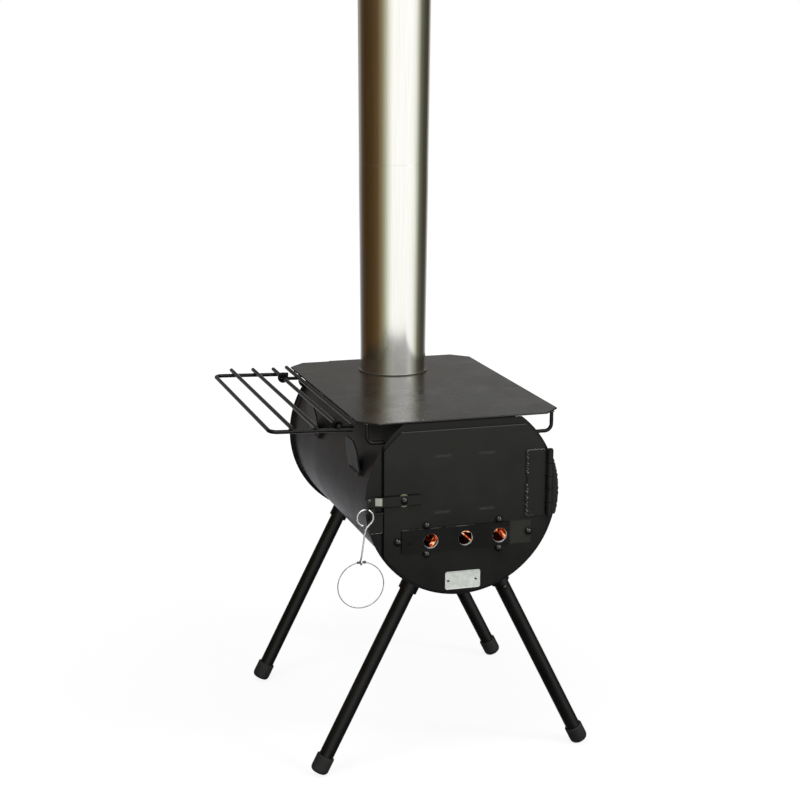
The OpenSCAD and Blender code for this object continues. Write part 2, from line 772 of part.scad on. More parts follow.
// A bar on the door's face, stepped back past the door's edge, with its end turned forward
module latch_bar() color("gray") placed() difference() {
    thumb_x = -latch_x + bar_thumb - bar_h / 2;
    union() {
        translate([0, 0, bar_low]) linear_extrude(bar_h) polygon([
            [thumb_x, bar_face], [thumb_x, bar_back],
            [-latch_x - step_start, bar_back], [-latch_x - step_end, tail_back],
            [tab_x, tail_back], [tab_x, tail_face],
            [-latch_x - step_end, tail_face], [-latch_x - step_start, bar_face]]);
        rod_y(thumb_x, latch_z, bar_face, bar_back, bar_h / 2);
        translate([tab_x, -tab_depth, -tab_h / 2]) cube([bar_sheet, tab_depth + tail_back, tab_h]);
    }
    rod_y(-latch_x, latch_z, bar_face - past, bar_back + past, pivot_r + pivot_fit);
    rod_x(tab_x - past, tab_x + bar_sheet + past, tab_hole_y, tab_hole_z, tab_hole_r);
}

// An arc of wire in the XZ plane, from one angle to another
module wire_arc(x, z, r, wire_r, from, to) translate([x, tab_hole_y, z]) rotate([90, 0, 0])
    rotate_extrude(angle = to - from, start = from) translate([r, 0]) circle(wire_r, $fn = 24);

// One wire: an open eye through the tab, a long shank, and a small eye for the ring
module wire_pull() color("silver") placed() {
    eye_split = wire_split / eye_r * 57.3;
    turn_split = wire_split / turn_r * 57.3;
    wire_arc(eye_x, eye_z, eye_r, pull_r, eye_split - eye_turn, eye_open_angle);
    wire_arc(eye_x + turn_x, eye_z + turn_z, turn_r, pull_r,
        180 - eye_turn + turn_split, 180 - shank_lean - turn_split);
    translate([eye_x + neck_x, tab_hole_y, eye_z + neck_z]) rotate([0, 180 + eye_turn, 0]) {
        translate([0, 0, wire_split]) cylinder(h = neck_len - 2 * wire_split, r = pull_r, $fn = 24);
        for (end = [0, neck_len]) translate([0, 0, end])
            cylinder(h = 2 * wire_core_r, r = wire_core_r, center = true, $fn = 24);
    }
    translate([eye_x + shank_x, tab_hole_y, eye_z + shank_z]) rotate([0, 180 + shank_lean, 0]) {
        translate([0, 0, wire_split]) cylinder(h = shank_len - wire_split, r = pull_r, $fn = 24);
        cylinder(h = 2 * wire_core_r, r = wire_core_r, center = true, $fn = 24);
    }
    translate([small_eye_x, tab_hole_y, small_eye_z]) rotate([0, 90, 0])
        rotate_extrude() translate([small_eye_r, 0]) circle(small_eye_wire_r, $fn = 24);
}

// A thin ring closed by a sleeve, which hangs in the small eye
module pull_ring() color("silver") placed() {
    translate([small_eye_x, tab_hole_y, ring_z]) rotate([90, 0, 0])
        rotate_extrude($fn = 96) translate([ring_r, 0]) circle(ring_wire_d / 2, $fn = 24);
    rod_x(small_eye_x - sleeve_len / 2, small_eye_x + sleeve_len / 2, tab_hole_y, small_eye_z,
        sleeve_d / 2, $fn = 32);
    translate([small_eye_x + sleeve_len / 2, tab_hole_y, small_eye_z])
        sphere(sleeve_ball_r, $fn = 32);
}

// ---- Legs ----

// Turns local +Z to stand off a leg at its stop screw; face is -1 for forward and 1 for back
module at_screw(face) translate([0, 0, screw_at]) rotate([-90 * face, 0, 0]) children();

module leg_tube(side, y, face) color("darkgray") placed() along_leg(side, y) difference() {
    translate([0, 0, leg_top]) cylinder(h = leg_end - leg_top, r = leg_r);
    translate([0, 0, leg_top - past]) cylinder(h = leg_end - leg_top + 2 * past, r = leg_r - leg_wall);
    at_screw(face) cylinder(h = 2 * leg_r, r = screw_shank_r + screw_fit);
}

// A domed screw in the tube's wall, which stops the leg below its stub
module leg_screw(side, y, face) color("silver") placed() along_leg(side, y) {
    rise = screw_head_h + screw_seat;
    head = screw_d / 2;
    ball_r = (head * head + rise * rise) / (2 * rise);
    difference() {
        at_screw(face) intersection() {
            translate([0, 0, leg_r + screw_head_h - ball_r]) sphere(ball_r);
            cylinder(h = leg_r + 2 * screw_head_h, r = head);
        }
        translate([0, 0, leg_top]) cylinder(h = leg_end, r = leg_r);
    }
    at_screw(face) translate([0, 0, leg_r - leg_wall])
        cylinder(h = leg_wall + screw_head_h / 2, r = screw_shank_r);
}

// A rubber cap with a rounded rim, worn flat where it stands
module foot_cap(side, y) color("black") placed() difference() {
    along_leg(side, y) difference() {
        union() {
            translate([0, 0, cap_end - cap_len]) cylinder(h = cap_len - cap_round, r = cap_r);
            translate([0, 0, cap_end - cap_round - past])
                cylinder(h = cap_round + past, r = cap_corner_r);
            translate([0, 0, cap_end - cap_round])
                rotate_extrude() translate([cap_corner_r, 0]) circle(cap_round, $fn = 32);
        }
        translate([0, 0, cap_end - cap_len - past]) cylinder(h = cap_len - cap_base + past, r = leg_r);
    }
    translate([0, y, -axis_h - cap_len]) cube([4 * axis_h, 4 * cap_r, 2 * cap_len], center = true);
}

// ---- Flue pipe ----

// Tapered pipe, straight over the spigot and at the joint, with a small lip at its top
module lower_pipe() color("silver") placed() translate([0, flue_y, pipe_foot_z])
    rotate_extrude($fn = 128) polygon([
        [flue_foot_r, 0], [flue_foot_r, spigot_h + pipe_grip],
        [flue_joint_r, flue_lower_len - flue_neck - pipe_grip],
        [flue_joint_r, flue_lower_len - pipe_lip_h],
        [flue_joint_r + pipe_lip, flue_lower_len - pipe_lip_h],
        [flue_joint_r + pipe_lip, flue_lower_len],
        [flue_joint_r - flue_sheet, flue_lower_len],
        [flue_joint_r - flue_sheet, flue_lower_len - flue_neck - pipe_grip],
        [flue_foot_r - flue_sheet, spigot_h + pipe_grip], [flue_foot_r - flue_sheet, 0]]);

// Tapered pipe whose narrow neck drops into the lower pipe, straight at its open end
module upper_pipe() color("silver") placed() translate([0, flue_y, pipe_joint_z])
    rotate_extrude($fn = 128) polygon([
        [neck_r - flue_sheet, -flue_neck], [neck_r, -flue_neck], [neck_r, 0], [flue_joint_r, 0],
        [flue_top_r, flue_upper_len - flue_end], [flue_top_r, flue_upper_len],
        [flue_top_r - flue_sheet, flue_upper_len],
        [flue_top_r - flue_sheet, flue_upper_len - flue_end],
        [flue_joint_r - flue_sheet, flue_sheet], [neck_r - flue_sheet, flue_sheet]]);

// ---- Side rack ----

// The rod along the cooktop's left edge
module rack_edge_rod() color("gray") placed()
    rod_y(edge_rod_x, edge_rod_z, rack_front - rack_r, rod_rear, rack_r);

// Turns a drawing about the hinge rod, outward to -X, by the open rack's tilt
module on_rack() translate([hinge_rod_x, 0, hinge_rod_z]) rotate([0, rack_tilt, 0]) children();

// Two rods curled to an eye round the hinge rod, with their straight ends welded to the edge rod
module rack_links() color("gray") placed() difference() {
    for (y = link_ys) on_rack() {
        translate([0, y, 0]) rotate([90, 0, 0])
            rotate_extrude() translate([link_eye_r, 0]) circle(link_r, $fn = 32);
        rod_x(link_eye_r, rack_link + 2, y - link_eye_in + link_bar_in, link_dz, link_bar_r);
    }
    rod_y(edge_rod_x, edge_rod_z, 0, body_len, rack_r);
}

module rack_corner(y, from) translate([-rack_w + rack_bend, y, 0])
    rotate_extrude(angle = 90, start = from) translate([rack_bend, 0]) circle(rack_r);

// A rod bent to a U, its arms running in under the links
module rack_frame() color("gray") placed() on_rack() translate([0, 0, -rack_d]) {
    for (y = [rack_front, rack_rear]) rod_x(-rack_w + rack_bend, arm_reach, y, 0, rack_r);
    rod_y(-rack_w, 0, rack_front + rack_bend, rack_rear - rack_bend, rack_r);
    rack_corner(rack_front + rack_bend, 180);
    rack_corner(rack_rear - rack_bend, 90);
}

module rack_rod(x) color("gray") placed() on_rack() rod_y(x, 0, rack_front - rack_r, rod_rear, rack_r);
module rack_rod_outer() rack_rod(-rack_w * 0.7);
module rack_rod_inner() rack_rod(-rack_w * 0.34);
module rack_hinge_rod() rack_rod(0);

// ---- Grate ----

module grate_rods() color("dimgray") placed() for (i = [0 : grate_rods_n - 1])
    rod_y((i - (grate_rods_n - 1) / 2) * grate_pitch, grate_z - grate_r,
        grate_front_y, grate_front_y + grate_len, grate_r, $fn = 32);

// Two plates across the barrel, rounded to its inside, that carry the rods
module grate_bearers() color("dimgray") placed() for (share = [0.25, 0.75])
    upright(grate_front_y + grate_len * share, bearer_sheet) intersection() {
        circle(inner_r - grate_fit, $fn = 128);
        translate([-inner_r, bearer_top - bearer_h]) square([2 * inner_r, bearer_h]);
    }

barrel_shell();
front_plate();
rear_plate();
cooktop();
flue_collar();
leg_stub(-1, leg_ys[0]);  // leg_stub_fl
leg_stub(1, leg_ys[0]);  // leg_stub_fr
leg_stub(-1, leg_ys[1]);  // leg_stub_rl
leg_stub(1, leg_ys[1]);  // leg_stub_rr
cooktop_stay(-1, stay_front_y);  // cooktop_stay_fl
cooktop_stay(1, stay_front_y);  // cooktop_stay_fr
cooktop_stay(-1, body_len - stay_rear_y);  // cooktop_stay_rl
cooktop_stay(1, body_len - stay_rear_y);  // cooktop_stay_rr
hanger_tab(hanger_ys[0]);  // hanger_tab_front
hanger_tab(hanger_ys[1]);  // hanger_tab_rear
latch_keeper();
hinge_pad();
hinge_frame_leaf();
hinge_pin();
rack_edge_rod();
rack_links();
grate_rods();
grate_bearers();
door_plate();
heat_shield();
shield_brackets();
hinge_door_leaf();
draught_rivets();
stop_bolts();
name_plate();
name_plate_rivets();
latch_bolt();
latch_washer();
latch_bar();
wire_pull();
pull_ring();
draught_slider();
leg_tube(-1, leg_ys[0], 1);  // leg_tube_fl
leg_tube(1, leg_ys[0], -1);  // leg_tube_fr
leg_tube(-1, leg_ys[1], 1);  // leg_tube_rl
leg_tube(1, leg_ys[1], 1);  // leg_tube_rr
leg_screw(-1, leg_ys[0], 1);  // leg_screw_fl
leg_screw(1, leg_ys[0], -1);  // leg_screw_fr
leg_screw(-1, leg_ys[1], 1);  // leg_screw_rl
leg_screw(1, leg_ys[1], 1);  // leg_screw_rr
foot_cap(-1, leg_ys[0]);  // foot_cap_fl
foot_cap(1, leg_ys[0]);  // foot_cap_fr
foot_cap(-1, leg_ys[1]);  // foot_cap_rl
foot_cap(1, leg_ys[1]);  // foot_cap_rr
lower_pipe();
upper_pipe();
rack_frame();
rack_rod_outer();
rack_rod_inner();
rack_hinge_rod();
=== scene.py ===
import math
import bpy
from mathutils import Matrix, Vector


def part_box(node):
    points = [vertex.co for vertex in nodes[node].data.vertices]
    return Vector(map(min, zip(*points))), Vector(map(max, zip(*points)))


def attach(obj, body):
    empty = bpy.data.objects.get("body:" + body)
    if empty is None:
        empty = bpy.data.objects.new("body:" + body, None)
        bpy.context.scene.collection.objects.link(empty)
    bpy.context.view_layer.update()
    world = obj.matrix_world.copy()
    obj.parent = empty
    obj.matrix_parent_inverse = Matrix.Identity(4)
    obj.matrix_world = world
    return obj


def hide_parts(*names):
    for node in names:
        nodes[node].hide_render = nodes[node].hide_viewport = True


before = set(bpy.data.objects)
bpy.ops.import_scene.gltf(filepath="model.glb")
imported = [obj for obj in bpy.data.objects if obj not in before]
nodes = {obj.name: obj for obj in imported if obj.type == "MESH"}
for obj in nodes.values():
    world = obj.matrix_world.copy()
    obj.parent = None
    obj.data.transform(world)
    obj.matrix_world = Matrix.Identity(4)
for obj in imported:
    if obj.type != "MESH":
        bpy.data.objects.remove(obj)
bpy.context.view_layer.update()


# ---- Studio ----
# The photograph's camera, a pale floor that melts into a white backdrop, and three soft lamps.
# Metal mirrors other walls: pale to the right of the camera and brown to the left, as the flue shows.

CAMERA_PLACE = (-962.5, -2725.3, 837.1)
CAMERA_AZIMUTH = math.radians(17.331)
CAMERA_DOWN = math.radians(13.014)
CAMERA_ROLL = math.radians(0.308)
LENS_MM = 79.64
STOVE_MIDDLE = Vector((0.0, 0.0, 0.45))
END_PLATE_RADIUS = 0.1715
plate_low, plate_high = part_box("front_plate")
BARREL_AXIS = Vector(((plate_low[0] + plate_high[0]) / 2, plate_low[1], plate_low[2] + END_PLATE_RADIUS))


def at(x, y, z):
    """A place in metres, from millimetres off the barrel's axis and back from the front plate's face."""
    return BARREL_AXIS + Vector((x, y, z)) / 1000


def linear(code):
    """A colour written as sRGB hex, turned to linear values with an alpha."""
    parts = [int(code[i:i + 2], 16) / 255 for i in (0, 2, 4)]
    return [c / 12.92 if c <= 0.04045 else ((c + 0.055) / 1.055) ** 2.4 for c in parts] + [1.0]


def feed(tree, node, inputs):
    """Sets each named input of a node to a value, or links it from a socket or a node's first output."""
    for key, value in inputs.items():
        source = value.outputs[0] if isinstance(value, bpy.types.Node) else value
        if isinstance(source, bpy.types.NodeSocket):
            tree.links.new(source, node.inputs[key])
        else:
            node.inputs[key].default_value = value


def add(tree, kind, inputs=None, stops=(), **settings):
    """Adds a node with its settings and inputs; a colour ramp's stops are (place, hex colour), rising."""
    node = tree.nodes.new("ShaderNode" + kind)
    for key, value in settings.items():
        setattr(node, key, value)
    feed(tree, node, inputs or {})
    if stops:
        elements = node.color_ramp.elements
        elements.remove(elements[-1])
        elements[0].position = stops[0][0]
        elements[0].color = linear(stops[0][1])
        for place, code in stops[1:]:
            elements.new(place).color = linear(code)
    return node


camera_data = bpy.data.cameras.new("camera")
camera_data.lens = LENS_MM
camera = bpy.data.objects.new("camera", camera_data)
camera.matrix_world = (Matrix.Translation(at(*CAMERA_PLACE)) @ Matrix.Rotation(-CAMERA_AZIMUTH, 4, "Z")
                       @ Matrix.Rotation(math.pi / 2 - CAMERA_DOWN, 4, "X")
                       @ Matrix.Rotation(CAMERA_ROLL, 4, "Z"))
bpy.context.scene.collection.objects.link(camera)
bpy.context.scene.camera = camera
bpy.context.scene.view_settings.view_transform = "Standard"

world = bpy.data.worlds.new("studio")
bpy.context.scene.world = world
world.use_nodes = True
tree = world.node_tree
tree.nodes.clear()
direction = add(tree, "TexCoord").outputs["Generated"]
height = add(tree, "SeparateXYZ", {"Vector": direction}).outputs["Z"]
turned = add(tree, "VectorRotate", {"Vector": direction, "Angle": math.pi / 2 + CAMERA_AZIMUTH},
             rotation_type="Z_AXIS")
# Once round the stove: 0.5 is towards the camera, more is to its right, and 0 and 1 are straight behind
around = add(tree, "TexGradient", {"Vector": turned}, gradient_type="RADIAL").outputs["Fac"]
walls = add(tree, "ValToRGB", {"Fac": around}, stops=[
    (0.0, "b6b6b4"), (0.03, "a09e9a"), (0.09, "96938f"), (0.145, "54442f"), (0.2, "3a2814"),
    (0.29, "46321a"), (0.35, "56442a"), (0.383, "7a6c50"), (0.41, "908c76"), (0.44, "c4c6b8"),
    (0.462, "e8e9de"), (0.49, "ffffff"), (0.66, "ffffff"), (0.7, "f2f3ee"), (0.728, "cccec0"),
    (0.765, "6a6a5e"), (0.81, "46463a"), (0.88, "3a3024"), (0.94, "bcbcb8"), (0.97, "dadad8"),
    (1.0, "bebebc")])
# The mirrored floor is bright straight behind the stove and dark elsewhere
behind = add(tree, "ValToRGB", {"Fac": around}, stops=[
    (0.0, "ffffff"), (0.11, "ffffff"), (0.18, "000000"), (0.82, "000000"), (0.89, "ffffff"), (1.0, "ffffff")])
low_front = add(tree, "MapRange", {"Value": height, "From Min": -0.26, "From Max": -0.42})
low_behind = add(tree, "MapRange", {"Value": height, "From Min": -0.06, "From Max": -0.2})
low = add(tree, "Mix", {0: behind, 2: low_front, 3: low_behind}, data_type="FLOAT")
ground = add(tree, "ValToRGB", {"Fac": around}, stops=[
    (0.0, "f0f0f4"), (0.03, "d8d8dc"), (0.07, "a8a8ac"), (0.11, "585757"), (0.18, "30302e"),
    (0.82, "30302e"), (0.89, "585757"), (0.93, "a8a8ac"), (0.97, "d8d8dc"), (1.0, "f0f0f4")])
# The wall behind the stove darkens upwards, and a pale roof closes the studio
dusk = add(tree, "MapRange", {"Value": height, "From Min": 0.14, "From Max": 0.31, "To Max": 0.9})
dusk_behind = add(tree, "Math", {0: dusk, 1: behind}, operation="MULTIPLY")
dusky = add(tree, "Mix", {0: dusk_behind, 6: walls, 7: linear("3a3834")}, data_type="RGBA")
with_floor = add(tree, "Mix", {0: low, 6: dusky.outputs[2], 7: ground}, data_type="RGBA")
high = add(tree, "MapRange", {"Value": height, "From Min": 0.45, "From Max": 0.85})
with_roof = add(tree, "Mix", {0: high, 6: with_floor.outputs[2], 7: linear("d8d8d6")}, data_type="RGBA")
# A soft box in front, above the horizon, puts the glints on domes, welds and rods
ahead = add(tree, "Math", {0: 1.0, 1: behind}, operation="SUBTRACT")
box_foot = add(tree, "MapRange", {"Value": height, "From Min": 0.05, "From Max": 0.13, "To Max": 0.32})
box_light = add(tree, "Math", {0: box_foot, 1: ahead, 2: 1.12}, operation="MULTIPLY_ADD")
mirrored = add(tree, "Background", {"Color": with_roof.outputs[2], "Strength": box_light})
plain = add(tree, "Background", {"Color": linear("ffffff"), "Strength": 0.5})
white = add(tree, "Background", {"Color": linear("ffffff"), "Strength": 1.0})
path = add(tree, "LightPath").outputs
lit = add(tree, "MixShader", {0: path["Is Glossy Ray"], 1: plain, 2: mirrored})
seen = add(tree, "MixShader", {0: path["Is Camera Ray"], 1: lit, 2: white})
add(tree, "OutputWorld", {"Surface": seen})

# The floor takes the stove's shadow near it, and glows white to the camera further off
bpy.ops.object.select_all(action="DESELECT")
bpy.ops.mesh.primitive_circle_add(vertices=96, radius=7.0, fill_type="NGON", location=(0, 0, 0))
floor = bpy.context.object
floor.name = "floor"
floor.visible_glossy = False
finish = bpy.data.materials.new("pale_floor")
finish.use_nodes = True
tree = finish.node_tree
tree.nodes.clear()
shade = add(tree, "BsdfDiffuse", {"Color": linear("f4f4f4")})
glow = add(tree, "Emission", {"Color": linear("ffffff"), "Strength": 1.05})
away = add(tree, "VectorMath", {0: add(tree, "TexCoord").outputs["Object"]}, operation="LENGTH")
melt = add(tree, "MapRange", {"Value": away.outputs["Value"], "From Min": 0.5, "From Max": 1.8,
                              "To Min": 0.84, "To Max": 1.0})
both = add(tree, "MixShader", {0: melt, 1: shade, 2: glow})
path = add(tree, "LightPath").outputs
surface = add(tree, "MixShader", {0: path["Is Camera Ray"], 1: shade, 2: both})
add(tree, "OutputMaterial", {"Surface": surface})
floor.data.materials.append(finish)


def soft_lamp(name, place, size, watts, mirrored=True):
    """A soft lamp that points at the stove's middle; mirrored=False leaves it out of reflections."""
    data = bpy.data.lights.new(name, "AREA")
    data.shape = "RECTANGLE"
    data.size, data.size_y = size
    data.energy = watts
    lamp = bpy.data.objects.new(name, data)
    lamp.location = place
    lamp.rotation_euler = (STOVE_MIDDLE - Vector(place)).to_track_quat("-Z", "Y").to_euler()
    lamp.visible_glossy = mirrored
    bpy.context.scene.collection.objects.link(lamp)


soft_lamp("key_lamp", (1.9, -1.9, 2.5), (0.7, 0.7), 34)
soft_lamp("top_lamp", (-0.5, -1.0, 2.9), (1.2, 0.5), 22)
soft_lamp("fill_lamp", (-2.4, -1.6, 1.3), (1.4, 1.4), 14, mirrored=False)


# ---- Barrel ----
# A firebox rolled from 2 mm steel sheet, with its top pressed flat, seam-welded along its belly.
# Sprayed outside with black heat-proof paint; inside, the fire has burnt it to grey scale and soot.

BARREL_RADIUS, BARREL_SHEET, FLAT_HEIGHT, BODY_LENGTH = 165, 2, 136.8, 530


def new_finish(name):
    """A material with a Principled shader; returns it, its tree, the shader and Object coordinates."""
    made = bpy.data.materials.new(name)
    made.use_nodes = True
    made.node_tree.nodes.clear()
    shader = add(made.node_tree, "BsdfPrincipled")
    add(made.node_tree, "OutputMaterial", {"Surface": shader})
    return made, made.node_tree, shader, add(made.node_tree, "TexCoord").outputs["Object"]


def heat_proof_paint(name, dark, light, gloss, specular=0.3, grain_size=0.9, grit=0.12, ripple=0.25,
                     painted_top_shading=0.0, uneven=0.065):
    """Black silicone paint on steel: cloudy tone, sprayed grain in mm that stands up by its grit, and a
    slight wave in the sheet. The top shading setting, from 0 to 1, is how strongly painted shade darkens
    it towards the barrel's belly and lightens it towards the top; uneven is how far its roughness strays.
    Returns what new_finish returns."""
    made, tree, shader, place = new_finish(name)
    cloud = add(tree, "TexNoise", {"Vector": place, "Scale": 14.0, "Detail": 6.0, "Roughness": 0.6})
    height = add(tree, "SeparateXYZ", {"Vector": place}).outputs["Z"]
    # Painted shade: the tone darkens towards the belly and lightens towards the top
    upward_shade = add(tree, "MapRange", {"Value": height, "From Min": BARREL_AXIS.z - 0.16,
                                   "From Max": BARREL_AXIS.z + 0.10, "To Min": -0.5 * painted_top_shading,
                                   "To Max": 0.35 * painted_top_shading})
    blotch = add(tree, "Math", {0: cloud, 1: upward_shade}, operation="ADD")
    tone = add(tree, "ValToRGB", {"Fac": blotch},
               stops=[(0.3 - 0.35 * painted_top_shading, dark), (0.72 + 0.1 * painted_top_shading, light)])
    grain = add(tree, "TexNoise", {"Vector": place, "Scale": 1000.0 / grain_size, "Detail": 2.0})
    mottled = add(tree, "Math", {0: grain, 1: cloud}, operation="ADD")
    rough = add(tree, "MapRange", {"Value": mottled, "From Min": 0.7, "From Max": 1.3,
                                   "To Min": gloss - uneven, "To Max": gloss + uneven})
    wave = add(tree, "TexNoise", {"Vector": place, "Scale": 9.0, "Detail": 1.0})
    rise = add(tree, "Bump", {"Height": wave, "Strength": ripple, "Distance": 0.004})
    bump = add(tree, "Bump", {"Height": grain, "Strength": grit, "Distance": 0.0004, "Normal": rise})
    feed(tree, shader, {"Base Color": tone, "Roughness": rough,
                        "Specular IOR Level": specular, "Normal": bump})
    return made, tree, shader, place


def paint_over(tree, shader, mask, tone, roughness):
    """Lays a second tone, hex or a node, and roughness over a finish's first where a mask is white."""
    first_tone, first_rough = (shader.inputs[key].links[0].from_socket for key in ("Base Color", "Roughness"))
    second_tone = linear(tone) if isinstance(tone, str) else tone
    toned = add(tree, "Mix", {0: mask, 6: first_tone, 7: second_tone}, data_type="RGBA")
    dulled = add(tree, "Mix", {0: mask, 2: first_rough, 3: roughness}, data_type="FLOAT")
    feed(tree, shader, {"Base Color": toned.outputs[2], "Roughness": dulled})


def off_axis(tree, place, centre, keep):
    """How far a place lies from a line through a centre; keep is 0 along the line and 1 across it."""
    moved = add(tree, "VectorMath", {0: place, 1: tuple(-centre)}, operation="ADD")
    across = add(tree, "VectorMath", {0: moved, 1: keep}, operation="MULTIPLY")
    return add(tree, "VectorMath", {0: across}, operation="LENGTH").outputs["Value"]


def dress(name, material):
    """Gives a CAD node its finish."""
    nodes[name].data.materials.clear()
    nodes[name].data.materials.append(material)


# What the plates wear, with painted shade that darkens them towards the bottom
satin = dict(dark="0a0a09", light="1f1f1d", gloss=0.42, specular=0.15, painted_top_shading=1.0)
satin_paint = heat_proof_paint("satin_heat_proof_paint", **satin)[0]

# The paint covers the round wall outside its middle and the flat's outer face; the rest is burnt
barrel_paint, tree, shader, place = heat_proof_paint("barrel_paint_burnt_inside", "1a1817", "252323", 0.36,
                                                     specular=0.32)
MID_WALL = (BARREL_RADIUS - BARREL_SHEET / 2) / 1000
reach = off_axis(tree, place, BARREL_AXIS, (1, 0, 1))
round_wall = add(tree, "MapRange", {"Value": reach, "From Min": MID_WALL + 0.0004,
                                    "From Max": MID_WALL - 0.0004})
under_flat = add(tree, "MapRange", {
    "Value": add(tree, "SeparateXYZ", {"Vector": place}).outputs["Z"],
    "From Min": at(0, 0, FLAT_HEIGHT - 0.2).z, "From Max": at(0, 0, FLAT_HEIGHT - 0.8).z})
inside = add(tree, "Math", {0: round_wall, 1: under_flat}, operation="MULTIPLY")
flakes = add(tree, "TexVoronoi", {"Vector": place, "Scale": 160.0})
scale_tone = add(tree, "ValToRGB", {"Fac": flakes},
                 stops=[(0.1, "2c2622"), (0.5, "4a4039"), (0.9, "6a5a4c")])
paint_over(tree, shader, inside, scale_tone, 0.85)
dress("barrel_shell", barrel_paint)

# Weld metal under the paint: glossier than the sheet, because the spray pools between its scales, and
# flecked at random with pale grey as painted glints; one bead is painted pale grey all over as a painted
# highlight
weld_paint, tree, shader, place = heat_proof_paint("painted_weld_bead", "10100f", "1e1e1c", 0.24,
                                                   specular=0.6, grain_size=1.6)
glint_noise = add(tree, "TexNoise", {"Vector": place, "Scale": 380.0, "Detail": 1.0})
painted_glints = add(tree, "MapRange", {"Value": glint_noise, "From Min": 0.62, "From Max": 0.7})
paint_over(tree, shader, painted_glints, "4e4e49", 0.3)
highlight_weld = heat_proof_paint("weld_bead_painted_highlight", "6a6a66", "b0b0ac", 0.34, specular=0.5, grain_size=1.6)[0]


def pick(piece):
    """Selects one piece and nothing else, for the operators to act on."""
    bpy.ops.object.select_all(action="DESELECT")
    piece.select_set(True)
    bpy.context.view_layer.objects.active = piece


def copied(piece):
    """A copy of a piece, with a mesh of its own."""
    copy = piece.copy()
    copy.data = piece.data.copy()
    bpy.context.scene.collection.objects.link(copy)
    return copy


def shape_with(piece, kind, **settings):
    """Applies a modifier with its settings to the active piece."""
    modifier = piece.modifiers.new(kind.lower(), kind)
    for key, value in settings.items():
        setattr(modifier, key, value)
    bpy.ops.object.modifier_apply(modifier=modifier.name)


def finish_piece(piece, name, material, body, replaced=(), angle=35, flat=False):
    """Puts a piece's place in its mesh, smooths it, gives it its finish and seats it on a body.
    flat keeps the broad faces of a plate even, so that only its rounded edges turn the light."""
    pick(piece)
    bpy.ops.object.transform_apply(location=True, rotation=True, scale=True)
    bpy.ops.object.shade_smooth_by_angle(angle=math.radians(angle))
    if flat:
        shape_with(piece, "WEIGHTED_NORMAL", weight=100, keep_sharp=True)
    piece.name = name
    piece.data.name = name
    if material:
        piece.data.materials.clear()
        piece.data.materials.append(material)
    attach(piece, body)
    if replaced:
        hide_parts(*replaced)
    return piece


def weld_bead(name, places, out, body, width=5.0, height=2.0, step=2.4, material=weld_paint):
    """Runs a weld along places: overlapping squashed drops, fused and softened.
    out is the way the bead stands up; width, height and step are in millimetres."""
    bpy.ops.object.select_all(action="DESELECT")
    bpy.ops.mesh.primitive_uv_sphere_add(segments=10, ring_count=6, radius=0.5, location=(0, 0, 0))
    first_drop = bpy.context.object
    drops = []
    for start, end in zip(places, places[1:]):
        run = end - start
        along = run.normalized()
        up = (out - along * out.dot(along)).normalized()
        side = along.cross(up)
        laid = max(1, round(run.length * 1000 / step))
        for i in range(laid):
            sway = math.sin(len(drops) * 2.4) * 0.12
            size = 1 + 0.14 * math.sin(len(drops) * 1.7 + 1)
            spot = start + run * ((i + 0.5) / laid) + side * sway * width / 1000
            squash = Matrix((along * 1.6 * step * size, side * width * size, up * 2 * height * size))
            drop = copied(first_drop)
            drop.matrix_world = Matrix.Translation(spot) @ (squash.transposed() * 0.001).to_4x4()
            drops.append(drop)
    bpy.data.objects.remove(first_drop)
    for drop in drops:
        drop.select_set(True)
    bpy.context.view_layer.objects.active = drops[0]
    bpy.ops.object.join()
    bead = bpy.context.object
    bpy.ops.object.transform_apply(location=True, rotation=True, scale=True)
    shape_with(bead, "REMESH", mode="VOXEL", voxel_size=0.00055)
    shape_with(bead, "SMOOTH", factor=0.5, iterations=1)
    return finish_piece(bead, name, material, body, angle=60)


# The belly seam lies just inside the barrel's length, half sunk in the sheet
belly = [at(0, 12, -BARREL_RADIUS), at(0, BODY_LENGTH - 12, -BARREL_RADIUS)]
weld_bead("belly_seam", belly, Vector((0, 0, -1)), "firebox", width=4.5, height=1.2, step=4.5)


# ---- End plates ----
# Two flat discs cut from 3 mm steel, 6.5 mm proud of the barrel all round, stitch-welded to it from behind.
# Their laser-cut edges are broken a little, and the front one has a painted shadow line beside the door.


def softened(name, width, material, body, angle=35):
    """A copy of a CAD node whose edges are rounded by a width in millimetres; it stands for the node."""
    piece = copied(nodes[name])
    pick(piece)
    bpy.ops.mesh.customdata_custom_splitnormals_clear()
    bpy.ops.object.mode_set(mode="EDIT")
    bpy.ops.mesh.select_all(action="SELECT")
    bpy.ops.mesh.remove_doubles(threshold=0.000002)
    bpy.ops.mesh.dissolve_limited(angle_limit=math.radians(0.4))
    bpy.ops.object.mode_set(mode="OBJECT")
    shape_with(piece, "BEVEL", width=width / 1000, segments=2, limit_method="ANGLE",
               angle_limit=math.radians(angle), use_clamp_overlap=False)
    return finish_piece(piece, name + "_shaped", material, body, replaced=(name,), flat=True)


# A painted shadow: a black line on the front plate along the door's left side
shadowed_front_paint, tree, shader, place = heat_proof_paint("front_plate_paint_painted_shadow", **satin)
beside = add(tree, "SeparateXYZ", {"Vector": place}).outputs["X"]
off_line = add(tree, "Math", {0: beside, 1: -at(-141.4, 0, 0).x}, operation="ADD")
either = add(tree, "Math", {0: off_line}, operation="ABSOLUTE")
plate_shadow_line = add(tree, "MapRange", {"Value": either, "From Min": 0.0034, "From Max": 0.0016})
paint_over(tree, shader, plate_shadow_line, "040404", 0.95)
softened("front_plate", 0.5, shadowed_front_paint, "firebox")
softened("rear_plate", 0.5, satin_paint, "firebox")
